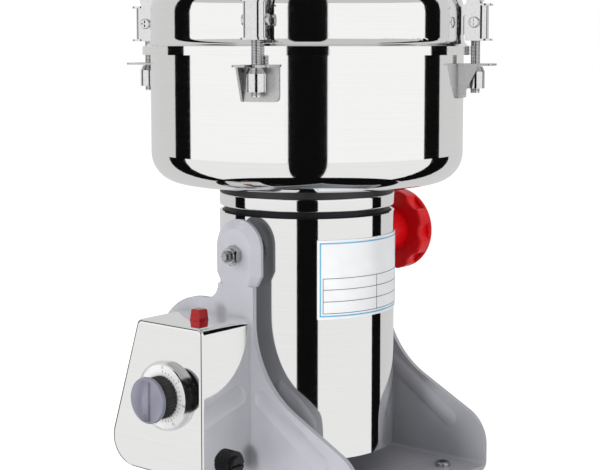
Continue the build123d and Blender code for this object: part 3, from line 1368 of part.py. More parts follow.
NODES = [
    yoke_frame, rubber_feet, stand_screws, control_box, cord_inlet, timer_switch, timer_bezel, timer_dial,
    timer_knob, overload_breaker, reset_button, fuse_holder, fuse_cap, motor_can, rating_plate,
    shaft_bearings, upper_end_cover, clamp_ring, neck_collar, lower_bracket, can_bottom_cover,
    motor_screws, stator_core, field_coils, carbon_brushes, brush_holders, rotor_shaft, armature_core,
    armature_windings, commutator, cooling_fan, pivot_stud, pivot_nut, pivot_spacers, knob_weld_nut,
    lock_knob, lock_knob_stud, grinding_bowl, shaft_seal, lid_shell, lid_gasket, lower_blade, blade_spacer,
    upper_blade, blade_nut, latch_brackets, latch_pivot_pins, catch_brackets,
]

parts = {make.__name__: make() for make in NODES}
for make in (latch_lever, latch_link, latch_rod):
    for number, copy in enumerate(latch_copies(make()), start=1):
        parts[f"{make.__name__}_{number}"] = copy

footprint = Compound([solid for shape in parts.values() for solid in shape.solids()]).bounding_box()
shift = Vector(-footprint.center().X, -footprint.center().Y, 0)
print("origin moved by", shift, "pivot height", PIVOT_Z, "size", footprint.size)

os.makedirs("parts", exist_ok=True)
for name, shape in parts.items():
    export_step(Pos(shift) * shape, f"parts/{name}.step")
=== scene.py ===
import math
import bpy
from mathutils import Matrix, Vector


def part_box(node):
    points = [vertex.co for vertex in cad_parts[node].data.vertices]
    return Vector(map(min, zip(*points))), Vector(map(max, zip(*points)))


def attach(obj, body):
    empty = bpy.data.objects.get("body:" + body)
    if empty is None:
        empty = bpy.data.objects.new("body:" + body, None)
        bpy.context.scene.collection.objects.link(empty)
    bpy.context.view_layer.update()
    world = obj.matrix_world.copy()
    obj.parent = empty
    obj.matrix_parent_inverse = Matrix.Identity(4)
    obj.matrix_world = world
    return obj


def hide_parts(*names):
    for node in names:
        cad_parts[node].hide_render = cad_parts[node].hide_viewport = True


bl_info = {
    "name": "Spice Grinder Dressing",
    "version": (1, 0, 0),
    "blender": (4, 5, 0),
    "location": "View3D > Sidebar > Grinder",
    "description": "Finishes, printing, threads and studio for an electric spice grinder",
    "category": "Object",
}

import bmesh
import bpy
from bpy.props import FloatProperty, FloatVectorProperty, IntProperty, PointerProperty
from mathutils import Matrix, Vector

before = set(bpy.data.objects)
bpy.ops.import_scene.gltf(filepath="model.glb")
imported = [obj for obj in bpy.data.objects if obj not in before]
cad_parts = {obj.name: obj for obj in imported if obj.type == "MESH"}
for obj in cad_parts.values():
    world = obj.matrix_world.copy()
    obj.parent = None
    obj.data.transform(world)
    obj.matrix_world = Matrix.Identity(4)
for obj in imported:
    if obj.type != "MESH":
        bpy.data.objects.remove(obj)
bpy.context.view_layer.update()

MM = 0.001
CAN_LOW, CAN_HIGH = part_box("motor_can")
AXIS = Vector(((CAN_LOW[0] + CAN_HIGH[0]) / 2, (CAN_LOW[1] + CAN_HIGH[1]) / 2, 0))
LATCHES = (1, 2, 3, 4)

# Noise seldom leaves the middle of its range, so patterns are read between these shares of it
FAINT_SHARE = 0.3
STRONG_SHARE = 0.7

# Of a thread's radius at its root, and of its pitch on each side of its crest
ROOT_SHARE = 0.97
FLANK_SHARE = 0.42
THREAD_STEPS = 24


def linear(code):
    """Linear colour with full alpha from an sRGB hex code."""
    values = [int(code[place:place + 2], 16) / 255 for place in (0, 2, 4)]
    return [v / 12.92 if v <= 0.04045 else ((v + 0.055) / 1.055) ** 2.4 for v in values] + [1.0]


def colour(name, description, code):
    """A colour property with its default as a hex code."""
    return FloatVectorProperty(
        name=name, description=description, subtype="COLOR", size=4, min=0, max=1, default=linear(code)
    )


def length(name, description, millimetres):
    """A length property with its default in millimetres."""
    return FloatProperty(
        name=name, description=description, subtype="DISTANCE", unit="LENGTH", min=0, default=millimetres * MM
    )


class GrinderColours(bpy.types.PropertyGroup):
    """Colours of the finishes."""

    enamel: colour("Enamel", "Baked enamel of the folded stand", "AEAFB6")
    stainless: colour("Stainless", "Buffed stainless steel of bowl, lid, can and box", "F4F4F3")
    plating: colour("Plating", "Bright plating of latches and bezel", "E4E4E5")
    steel: colour("Plain steel", "Turned and ground steel of screws, shaft and blades", "B4B5B8")
    knob_red: colour("Lock knob", "Moulded red of the lock knob", "E20A14")
    button_red: colour("Button", "Clear red of the reset button", "A80910")
    black: colour("Black plastic", "Moulded black of skirt, fuse holder and inlet", "161617")
    cap: colour("Knob cap", "Grey-violet of the timer knob's cap", "7E7E8D")
    plate: colour("Plate", "White print of the rating plate", "F1F2F4")
    border: colour("Plate border", "Blue border of the rating plate", "5FB2DC")
    ink: colour("Ink", "Dark print of dial and plate", "2A2B2E")


class GrinderSizes(bpy.types.PropertyGroup):
    """Sizes of the details."""

    border_inset: length("Border inset", "Plate edge to its blue border", 1.4)
    border_width: length("Border width", "Width of the plate's blue border", 0.8)
    rule_width: length("Rule width", "Width of the plate's table rules", 0.35)
    table_inset: length("Table inset", "Plate edge to its table", 3.2)
    rod_radius: length("Rod radius", "Radius of the latch rods", 2.5)
    stud_radius: length("Stud radius", "Radius of the pivot stud", 3.0)
    thread_pitch: length("Thread pitch", "Pitch of the threads on rods and stud", 0.8)
    thread_height: length("Thread height", "Height of the thread's ridge", 0.3)
    thread_end: length("Thread end", "End of a rod or stud to its thread", 0.3)
    barrel_height: length("Barrel height", "Upper end of a latch rod's barrel to its thread", 7.0)
    numeral: length("Numeral", "Height of the dial's numerals", 2.3)
    numeral_inset: length("Numeral inset", "Dial edge to the middle of its numerals", 1.7)
    tick: length("Tick", "Length of the dial's ticks", 1.0)
    tick_inset: length("Tick inset", "Dial edge to the inner end of its ticks", 4.8)
    tick_width: length("Tick width", "Width of the dial's ticks", 0.28)
    print_depth: length("Print depth", "Thickness of the ink on dial and plate", 0.06)
    cap_depth: length("Cap depth", "Depth of the timer knob's grey cap with its grip bar", 3.85)
    ticks: IntProperty(name="Ticks", description="Ticks over the dial's travel", min=2, default=31)


def add(tree, kind, inputs=(), **settings):
    """Add a shader node with its settings, values and links."""
    node = tree.nodes.new("ShaderNode" + kind)
    for key, value in settings.items():
        setattr(node, key, value)
    for key, value in dict(inputs).items():
        if isinstance(value, bpy.types.NodeSocket):
            tree.links.new(value, node.inputs[key])
        else:
            node.inputs[key].default_value = value
    return node


def new_material(name, sockets):
    """A material whose shader sockets have the given constant values."""
    material = bpy.data.materials.new(name)
    material.use_nodes = True
    shader = material.node_tree.nodes["Principled BSDF"]
    for key, value in sockets.items():
        shader.inputs[key].default_value = value
    return material, material.node_tree, shader


def streaks(tree, across, along, axis):
    """Noise drawn out along two axes and fine across the third, from sizes in metres."""
    scale = [1 / along] * 3
    scale[axis] = 1 / across
    place = add(tree, "TexCoord").outputs["Object"]
    stretched = add(tree, "Mapping", {"Vector": place, "Scale": scale}).outputs["Vector"]
    return add(tree, "TexNoise", {"Vector": stretched, "Scale": 1.0, "Detail": 4.0}).outputs["Fac"]


def grain(tree, size, detail=2.0):
    """Even noise with grains of a size in metres."""
    place = add(tree, "TexCoord").outputs["Object"]
    return add(tree, "TexNoise", {"Vector": place, "Scale": 1 / size, "Detail": detail}).outputs["Fac"]


def vary(tree, shader, socket, factor, low, high):
    """Drive a shader socket between two values by a pattern."""
    limits = {"From Min": FAINT_SHARE, "From Max": STRONG_SHARE, "To Min": low, "To Max": high}
    spread = add(tree, "MapRange", {"Value": factor, **limits})
    tree.links.new(spread.outputs["Result"], shader.inputs[socket])


def tint(tree, shader, factor, first, second):
    """Blend the base colour between two colours by a pattern."""
    ramp = add(tree, "ValToRGB", {"Fac": factor})
    ramp.color_ramp.elements[0].position = FAINT_SHARE
    ramp.color_ramp.elements[1].position = STRONG_SHARE
    ramp.color_ramp.elements[0].color = first
    ramp.color_ramp.elements[1].color = second
    tree.links.new(ramp.outputs["Color"], shader.inputs["Base Color"])


def relief(tree, shader, factor, depth, strength):
    """Raise a pattern by a depth in metres."""
    bump = add(tree, "Bump", {"Height": factor, "Distance": depth, "Strength": strength})
    tree.links.new(bump.outputs["Normal"], shader.inputs["Normal"])


def shade(base, factor):
    """A darker or lighter version of a colour."""
    return [min(1.0, value * factor) for value in base[:3]] + [1.0]


def buffed_stainless(colours):
    """Deep-drawn stainless, buffed on a wheel: a clear mirror with faint hair lines round the part."""
    material, tree, shader = new_material("buffed_stainless", {"Metallic": 1.0})
    # Real hair lines are finer; at half a millimetre they show
    lines = streaks(tree, 0.5 * MM, 60 * MM, 2)
    tint(tree, shader, lines, shade(colours.stainless, 0.97), colours.stainless[:])
    vary(tree, shader, "Roughness", lines, 0.035, 0.075)
    relief(tree, shader, lines, 0.002 * MM, 0.15)
    return material


def bright_plating(colours):
    """Nickel-plated pressed steel: a soft mirror with the sheet's own grain under it."""
    material, tree, shader = new_material("nickel_plated_steel", {"Metallic": 1.0})
    cloud = grain(tree, 1.5 * MM, 4.0)
    tint(tree, shader, cloud, shade(colours.plating, 0.9), colours.plating[:])
    vary(tree, shader, "Roughness", cloud, 0.08, 0.18)
    relief(tree, shader, cloud, 0.004 * MM, 0.3)
    return material


def satin_plating(colours):
    """Barrel-plated pressed steel: greyer than a mirror, with the rub marks of the barrel."""
    material, tree, shader = new_material("barrel_plated_steel", {"Metallic": 1.0})
    rubs = grain(tree, 2.5 * MM, 6.0)
    tint(tree, shader, rubs, shade(colours.plating, 0.62), shade(colours.plating, 0.85))
    vary(tree, shader, "Roughness", rubs, 0.24, 0.4)
    relief(tree, shader, rubs, 0.006 * MM, 0.3)
    return material


def zinc_with_painted_dark_reflection(colours):
    """Bright zinc on a forged nut: a half-clear mirror that shows its facets, its colour darkened as a
    painted dark reflection.
    """
    material, tree, shader = new_material("zinc_nut_with_painted_dark_reflection", {"Metallic": 1.0})
    cloud = grain(tree, 1.2 * MM, 3.0)
    # Painted dark reflection: the base is held at half to three quarters of the plating colour to stand in
    # for the dark surroundings the nut mirrors, and the cloud adds real random tone on top
    tint(tree, shader, cloud, shade(colours.plating, 0.5), shade(colours.plating, 0.75))
    vary(tree, shader, "Roughness", cloud, 0.08, 0.16)
    relief(tree, shader, cloud, 0.01 * MM, 0.3)
    return material


def turned_steel(colours):
    """Zinc-washed turned steel: grey with fine tool marks that scatter its shine."""
    material, tree, shader = new_material("zinc_washed_steel", {"Metallic": 1.0})
    # Real tool marks are finer; at a quarter of a millimetre they show
    marks = streaks(tree, 0.25 * MM, 3 * MM, 0)
    tint(tree, shader, marks, shade(colours.steel, 0.8), shade(colours.steel, 1.1))
    vary(tree, shader, "Roughness", marks, 0.18, 0.34)
    relief(tree, shader, marks, 0.006 * MM, 0.4)
    return material


def baked_enamel(colours):
    """Sprayed and baked enamel on sheet steel: glossy, with orange peel of a millimetre or two."""
    sockets = {"IOR": 1.5, "Coat Weight": 0.35, "Coat Roughness": 0.12}
    material, tree, shader = new_material("baked_enamel", sockets)
    peel = grain(tree, 1.6 * MM, 2.0)
    mottle = grain(tree, 22 * MM, 3.0)
    tint(tree, shader, mottle, shade(colours.enamel, 0.94), shade(colours.enamel, 1.03))
    vary(tree, shader, "Roughness", peel, 0.3, 0.42)
    relief(tree, shader, peel, 0.02 * MM, 0.25)
    return material


def moulded_plastic(name, base, roughness, coat=0.0, gloss=0.5):
    """Injection-moulded plastic: even colour under the fine grain of a spark-eroded mould."""
    sockets = {"IOR": 1.5, "Specular IOR Level": gloss, "Coat Weight": coat, "Coat Roughness": 0.08}
    material, tree, shader = new_material(name, sockets)
    # The real grain is finer; at a third of a millimetre it shows
    spark = grain(tree, 0.35 * MM, 2.0)
    flow = grain(tree, 9 * MM, 3.0)
    tint(tree, shader, flow, shade(base, 0.9), shade(base, 1.06))
    vary(tree, shader, "Roughness", spark, roughness * 0.85, roughness * 1.15)
    relief(tree, shader, spark, 0.008 * MM, 0.3)
    return material


def clear_red(colours):
    """Tinted acrylic of the reset button: light goes in, scatters and glows at the edges."""
    sockets = {"IOR": 1.49, "Transmission Weight": 0.25, "Roughness": 0.1, "Specular IOR Level": 0.35}
    material, tree, shader = new_material("tinted_acrylic", sockets)
    flow = grain(tree, 4 * MM, 2.0)
    tint(tree, shader, flow, shade(colours.button_red, 0.8), shade(colours.button_red, 1.15))
    relief(tree, shader, grain(tree, 0.5 * MM), 0.006 * MM, 0.3)
    return material


def moulded_rubber(name, code):
    """Compression-moulded rubber: dull, with a powdery bloom."""
    material, tree, shader = new_material(name, {"IOR": 1.5})
    bloom = grain(tree, 5 * MM, 5.0)
    base = linear(code)
    tint(tree, shader, bloom, base, shade(base, 1.5))
    vary(tree, shader, "Roughness", bloom, 0.6, 0.85)
    relief(tree, shader, grain(tree, 0.6 * MM, 4.0), 0.02 * MM, 0.4)
    return material


def spun_aluminium(centre):
    """Spun and frosted aluminium dial: pale, with concentric lathe lines about its own centre."""
    sockets = {"Metallic": 0.3, "Specular IOR Level": 0.3}
    material, tree, shader = new_material("frosted_spun_aluminium", sockets)
    place = add(tree, "TexCoord").outputs["Object"]
    back = [-value for value in centre]
    middle = add(tree, "Mapping", {"Vector": place, "Location": back}).outputs["Vector"]
    # Real lathe lines are finer; at about a millimetre they show
    rings = add(
        tree, "TexWave", {"Vector": middle, "Scale": 1 / (1.2 * MM), "Distortion": 0.6, "Detail": 3.0},
        wave_type="RINGS", rings_direction="X",
    ).outputs["Fac"]
    tint(tree, shader, rings, linear("E6E6E6"), linear("F4F4F3"))
    vary(tree, shader, "Roughness", rings, 0.35, 0.5)
    relief(tree, shader, rings, 0.003 * MM, 0.3)
    return material


def cast_metal(name, code):
    """Die-cast aluminium: grey skin with flow marks and small pits."""
    material, tree, shader = new_material(name, {"Metallic": 1.0})
    skin = grain(tree, 3 * MM, 6.0)
    tint(tree, shader, skin, shade(linear(code), 0.75), linear(code))
    vary(tree, shader, "Roughness", skin, 0.4, 0.6)
    relief(tree, shader, skin, 0.05 * MM, 0.4)
    return material


def stacked_sheet():
    """Electrical steel stampings: half-millimetre sheets stacked along the shaft."""
    material, tree, shader = new_material("stacked_electrical_steel", {"Metallic": 1.0})
    sheets = streaks(tree, 0.5 * MM, 80 * MM, 2)
    tint(tree, shader, sheets, linear("4A4B50"), linear("7C7D82"))
    vary(tree, shader, "Roughness", sheets, 0.35, 0.6)
    relief(tree, shader, sheets, 0.05 * MM, 0.6)
    return material


def lacquered_copper():
    """Enamelled winding wire: copper under a brown lacquer, in half-millimetre strands."""
    material, tree, shader = new_material("lacquered_copper", {"Metallic": 1.0, "Coat Weight": 0.6})
    strands = streaks(tree, 0.6 * MM, 12 * MM, 2)
    tint(tree, shader, strands, linear("8A4420"), linear("C8743E"))
    vary(tree, shader, "Roughness", strands, 0.25, 0.45)
    relief(tree, shader, strands, 0.15 * MM, 0.7)
    return material


def printed_film(name, base):
    """Printed polyester film: flat ink under a satin lacquer, slightly uneven as it lies on the can."""
    material, tree, shader = new_material(name, {"IOR": 1.5, "Coat Weight": 0.2, "Coat Roughness": 0.2})
    cloud = grain(tree, 12 * MM, 3.0)
    tint(tree, shader, cloud, shade(base, 0.96), shade(base, 1.02))
    vary(tree, shader, "Roughness", cloud, 0.28, 0.4)
    relief(tree, shader, cloud, 0.02 * MM, 0.15)
    return material


def dress(material, *nodes):
    """Give CAD nodes a finish."""
    for name in nodes:
        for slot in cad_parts[name].material_slots:
            slot.material = material


def new_piece(name, bm, material, body, smooth=True):
    """A Blender piece from a mesh, riding on a CAD body."""
    mesh = bpy.data.meshes.new(name)
    bmesh.ops.recalc_face_normals(bm, faces=bm.faces)
    bm.to_mesh(mesh)
    bm.free()
    mesh.polygons.foreach_set("use_smooth", [smooth] * len(mesh.polygons))
    mesh.materials.append(material)
    piece = bpy.data.objects.new(name, mesh)
    bpy.context.scene.collection.objects.link(piece)
    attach(piece, body)
    return piece


def join_loop(bm, rings, closed):
    """Bridge a row of equal vertex rings into a skin, and close its ends if it isn't a loop."""
    count = len(rings[0])
    steps = len(rings) if closed else len(rings) - 1
    for step in range(steps):
        first = rings[step]
        second = rings[(step + 1) % len(rings)]
        for index in range(count):
            after = (index + 1) % count
            bm.faces.new((first[index], first[after], second[after], second[index]))
    if not closed:
        bm.faces.new(rings[0])
        bm.faces.new(rings[-1])


def thread_mesh(start, direction, radius, height, pitch, span):
    """A helical ridge along a direction from a start point."""
    bm = bmesh.new()
    turns = Vector(direction).to_track_quat("Z", "Y").to_matrix()
    count = int(span / pitch * THREAD_STEPS)
    root = radius * ROOT_SHARE
    flank = FLANK_SHARE * pitch
    rings = []
    for step in range(count + 1):
        angle = 2 * math.pi * step / THREAD_STEPS
        along = span * step / count
        fade = min(1.0, step / THREAD_STEPS, (count - step) / THREAD_STEPS)
        section = [(root, -flank), (radius + height * fade, 0), (root, flank)]
        ring = []
        for r, offset in section:
            local = Vector((r * math.cos(angle), r * math.sin(angle), along + offset * fade))
            ring.append(bm.verts.new(Vector(start) + turns @ local))
        rings.append(ring)
    join_loop(bm, rings, False)
    return bm


def strip_mesh(radius, thickness, start, end, low, high):
    """A thin strip bent round the can, between two angles and two heights."""
    bm = bmesh.new()
    steps = max(1, int(abs(end - start) / math.radians(1.5)))
    rings = []
    for step in range(steps + 1):
        angle = start + (end - start) * step / steps
        out = Vector((math.cos(angle), math.sin(angle), 0))
        ring = [
            bm.verts.new(AXIS + out * r + Vector((0, 0, z)))
            for r, z in ((radius, low), (radius, high), (radius + thickness, high), (radius + thickness, low))
        ]
        rings.append(ring)
    join_loop(bm, rings, False)
    return bm


def merge_meshes(meshes):
    """One mesh from several."""
    whole = bmesh.new()
    for part in meshes:
        holder = bpy.data.meshes.new("holder")
        part.to_mesh(holder)
        part.free()
        whole.from_mesh(holder)
        bpy.data.meshes.remove(holder)
    return whole


def some_faces(node, wanted):
    """A copy of the faces of a CAD node whose middles a test accepts."""
    bm = bmesh.new()
    bm.from_mesh(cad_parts[node].data)
    bmesh.ops.remove_doubles(bm, verts=bm.verts, dist=0.0005 * MM)
    drop = [face for face in bm.faces if not wanted(face.calc_center_median())]
    bmesh.ops.delete(bm, geom=drop, context="FACES")
    return bm


def sharpen(piece, degrees):
    """Shade a piece smooth apart from edges sharper than an angle."""
    piece.data.set_sharp_from_angle(angle=math.radians(degrees))


class GRINDER_OT_shells(bpy.types.Operator):
    """Buffed stainless of the bowl, the lid, the can and the clamp ring, with plated catches, a cast neck
    collar and end covers, and rubber seals
    """

    bl_idname = "grinder.shells"
    bl_label = "Polished shells"

    def execute(self, context):
        colours = context.scene.grinder_colours
        dress(buffed_stainless(colours), "grinding_bowl", "lid_shell", "motor_can", "clamp_ring")
        dress(satin_plating(colours), "catch_brackets")
        dress(cast_metal("machined_casting", "535355"), "neck_collar")
        dress(moulded_rubber("seal_rubber", "1B1B1C"), "shaft_seal")
        dress(moulded_rubber("white_silicone", "D9D9D5"), "lid_gasket")
        dress(cast_metal("die_cast_bracket", "6C6D70"), "lower_bracket")
        dress(cast_metal("die_cast_cover", "3A3B3E"), "upper_end_cover")
        return {"FINISHED"}


class GRINDER_OT_stand(bpy.types.Operator):
    """Enamelled stand with its feet, its screws and the swing pivot's fasteners"""

    bl_idname = "grinder.stand"
    bl_label = "Stand and pivot"

    def execute(self, context):
        colours = context.scene.grinder_colours
        sizes = context.scene.grinder_sizes
        steel = turned_steel(colours)
        dress(baked_enamel(colours), "yoke_frame")
        dress(moulded_rubber("foot_rubber", "1A1A1A"), "rubber_feet")
        dress(steel, "stand_screws", "pivot_stud", "pivot_spacers", "knob_weld_nut", "lock_knob_stud")
        # The nut's finish carries a painted dark reflection in its darkened colour
        dress(zinc_with_painted_dark_reflection(colours), "pivot_nut")
        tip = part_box("pivot_stud")[0][0]
        low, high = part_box("pivot_nut")
        middle = (low + high) / 2
        radius = sizes.stud_radius
        chamfer = radius / 3
        span = low[0] - tip - chamfer
        start = (low[0], middle[1], middle[2])
        ridge = thread_mesh(start, (-1, 0, 0), radius, sizes.thread_height / 2, sizes.thread_pitch, span)
        new_piece("pivot_thread", ridge, steel, "head")
        return {"FINISHED"}


class GRINDER_OT_control_box(bpy.types.Operator):
    """Polished control box with its bezel, button, fuse holder and cord inlet"""

    bl_idname = "grinder.control_box"
    bl_label = "Control box"

    def execute(self, context):
        colours = context.scene.grinder_colours
        dress(buffed_stainless(colours), "control_box")
        dress(bright_plating(colours), "timer_bezel")
        dress(clear_red(colours), "reset_button")
        black = moulded_plastic("black_phenolic", colours.black, 0.38, 0.1)
        dress(black, "fuse_holder", "fuse_cap", "cord_inlet", "timer_switch", "overload_breaker")
        return {"FINISHED"}


class GRINDER_OT_timer(bpy.types.Operator):
    """Timer dial with its ticks and numerals, and the two-coloured knob"""

    bl_idname = "grinder.timer"
    bl_label = "Timer dial and knob"

    # Degrees and minutes of the whole scale, and which ticks are longer, and by how much
    TRAVEL = 300
    MINUTES = 30
    LONG_EVERY = 5
    LONG_SHARE = 1.5

    def execute(self, context):
        colours = context.scene.grinder_colours
        sizes = context.scene.grinder_sizes
        low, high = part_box("timer_dial")
        centre = Vector((low[0], (low[1] + high[1]) / 2, (low[2] + high[2]) / 2))
        dress(spun_aluminium(centre), "timer_dial")
        self.print_scale(colours, sizes, centre, (high[2] - low[2]) / 2)
        self.make_knob(colours, sizes)
        return {"FINISHED"}

    def print_scale(self, colours, sizes, centre, radius):
        """Ticks and numerals of a half-hour scale, clockwise from the top."""
        facing = Matrix(((0, 0, -1), (-1, 0, 0), (0, 1, 0))).to_4x4()
        ink = printed_film("screen_printed_ink", colours.ink)
        depth = sizes.print_depth
        parts = []
        for tick in range(sizes.ticks):
            turn = math.radians(self.TRAVEL * tick / (sizes.ticks - 1))
            long_tick = tick % self.LONG_EVERY == 0
            reach = sizes.tick * (self.LONG_SHARE if long_tick else 1.0)
            middle = radius - sizes.tick_inset + reach / 2
            size = Matrix.Diagonal((sizes.tick_width, reach, depth, 1))
            place = Matrix.Rotation(-turn, 4, "Z") @ Matrix.Translation((0, middle, 0)) @ size
            bm = bmesh.new()
            bmesh.ops.create_cube(bm, size=1.0, matrix=Matrix.Translation(centre) @ facing @ place)
            parts.append(bm)
            if long_tick:
                number = str(tick * self.MINUTES // (sizes.ticks - 1))
                spot = Matrix.Rotation(-turn, 4, "Z") @ Vector((0, radius - sizes.numeral_inset, 0))
                upright = Matrix.Translation(centre) @ facing @ Matrix.Translation(spot)
                parts.append(self.numeral(number, sizes.numeral, depth, upright))
        new_piece("dial_scale", merge_meshes(parts), ink, "stand", smooth=False)

    def numeral(self, text, height, depth, matrix):
        """A raised printed number."""
        curve = bpy.data.curves.new("numeral", "FONT")
        curve.body = text
        curve.size = height
        curve.extrude = depth / 2
        curve.align_x = "CENTER"
        curve.align_y = "CENTER"
        holder = bpy.data.objects.new("numeral", curve)
        mesh = bpy.data.meshes.new_from_object(holder)
        bm = bmesh.new()
        bm.from_mesh(mesh)
        bm.transform(matrix)
        bpy.data.objects.remove(holder)
        bpy.data.curves.remove(curve)
        bpy.data.meshes.remove(mesh)
        return bm

    def make_knob(self, colours, sizes):
        """Black ribbed skirt with its spindle, and the grey cap with its grip bar."""
        cap_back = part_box("timer_knob")[0][0] + sizes.cap_depth
        skirt = some_faces("timer_knob", lambda middle: middle.x > cap_back)
        cap = some_faces("timer_knob", lambda middle: middle.x <= cap_back)
        black = moulded_plastic("black_abs", colours.black, 0.42)
        grey = moulded_plastic("grey_violet_abs", colours.cap, 0.32, 0.2)
        skirt = new_piece("timer_knob_skirt", skirt, black, "timer_knob")
        cap = new_piece("timer_knob_cap", cap, grey, "timer_knob")
        for piece in (skirt, cap):
            sharpen(piece, 35)
        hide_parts("timer_knob")
        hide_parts("timer_knob")


class GRINDER_OT_label(bpy.types.Operator):
    """White rating plate with a blue border and an empty ruled table"""

    bl_idname = "grinder.label"
    bl_label = "Rating plate"

    # Of the plate's height above and below its table, and of the table's width
    HEADING_SHARE = 0.48
    FOOT_SHARE = 0.07
    COLUMN_SHARE = 0.55

    def execute(self, context):
        colours = context.scene.grinder_colours
        sizes = context.scene.grinder_sizes
        dress(printed_film("white_polyester_film", colours.plate), "rating_plate")
        low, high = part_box("rating_plate")
        radius = AXIS.y - low[1]
        start = -math.acos((low[0] - AXIS.x) / radius)
        end = -math.acos((high[0] - AXIS.x) / radius)
        film = sizes.print_depth

        def frame_strips(inset, width, top, bottom):
            """Four strips of a border, or of a table's outline."""
            turn = inset / radius
            wide = width / radius
            left, right = start + turn, end - turn
            return [
                strip_mesh(radius, film, left, right, top - width, top),
                strip_mesh(radius, film, left, right, bottom, bottom + width),
                strip_mesh(radius, film, left, left + wide, bottom, top),
                strip_mesh(radius, film, right - wide, right, bottom, top),
            ]

        inset = sizes.border_inset
        border = frame_strips(inset, sizes.border_width, high[2] - inset, low[2] + inset)
        blue = printed_film("blue_border_ink", colours.border)
        new_piece("plate_border", merge_meshes(border), blue, "head", smooth=False)
        height = high[2] - low[2]
        table_top = high[2] - self.HEADING_SHARE * height
        table_low = low[2] + self.FOOT_SHARE * height
        inset = sizes.table_inset
        rule = sizes.rule_width
        rules = frame_strips(inset, rule, table_top, table_low)
        left = start + inset / radius
        right = end - inset / radius
        for row in (1, 2):
            z = table_top + (table_low - table_top) * row / 3
            rules.append(strip_mesh(radius, film, left, right, z, z + rule))
        divider = left + (right - left) * self.COLUMN_SHARE
        rules.append(strip_mesh(radius, film, divider, divider + rule / radius, table_low, table_top))
        ink = printed_film("black_rule_ink", colours.ink)
        new_piece("plate_rules", merge_meshes(rules), ink, "head", smooth=False)
        return {"FINISHED"}


class GRINDER_OT_latches(bpy.types.Operator):
    """Plated levers, links and threaded rods of the lid's latches"""

    bl_idname = "grinder.latches"
    bl_label = "Latches"

    def execute(self, context):
        colours = context.scene.grinder_colours
        sizes = context.scene.grinder_sizes
        plating = bright_plating(colours)
        steel = turned_steel(colours)
        dress(plating, "latch_brackets")
        dress(steel, "latch_pivot_pins")
        for number in LATCHES:
            for piece in ("lever", "link", "rod"):
                dress(plating, f"latch_{piece}_{number}")
            self.rod_thread(number, sizes, steel)
        return {"FINISHED"}

    def rod_thread(self, number, sizes, material):
        """Thread on the rod between its barrel and its nut, and below the nut."""
        low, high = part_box(f"latch_rod_{number}")
        middle = (low + high) / 2
        top = high[2] - sizes.barrel_height
        bottom = low[2] + sizes.thread_end
        start = (middle[0], middle[1], bottom)
        span = top - bottom
        ridge = thread_mesh(start, (0, 0, 1), sizes.rod_radius, sizes.thread_height, sizes.thread_pitch, span)
        new_piece(f"latch_thread_{number}", ridge, material, f"latch_link_{number}")


class GRINDER_OT_lock_knob(bpy.types.Operator):
    """Glossy red lock knob"""

    bl_idname = "grinder.lock_knob"
    bl_label = "Lock knob"

    def execute(self, context):
        colours = context.scene.grinder_colours
        dress(moulded_plastic("red_phenolic", colours.knob_red, 0.26, 0.0, 0.3), "lock_knob")
        return {"FINISHED"}


class GRINDER_OT_motor(bpy.types.Operator):
    """Motor, bearings and blades inside the can and the bowl"""

    bl_idname = "grinder.motor"
    bl_label = "Motor and blades"

    def execute(self, context):
        colours = context.scene.grinder_colours
        steel = turned_steel(colours)
        dress(steel, "shaft_bearings", "rotor_shaft", "motor_screws", "blade_spacer", "blade_nut")
        dress(bright_plating(colours), "lower_blade", "upper_blade")
        dress(stacked_sheet(), "stator_core", "armature_core")
        dress(lacquered_copper(), "field_coils", "armature_windings", "commutator")
        black = moulded_plastic("black_nylon", colours.black, 0.5)
        dress(black, "brush_holders", "cooling_fan", "can_bottom_cover")
        dress(moulded_rubber("pressed_carbon", "242425"), "carbon_brushes")
        return {"FINISHED"}


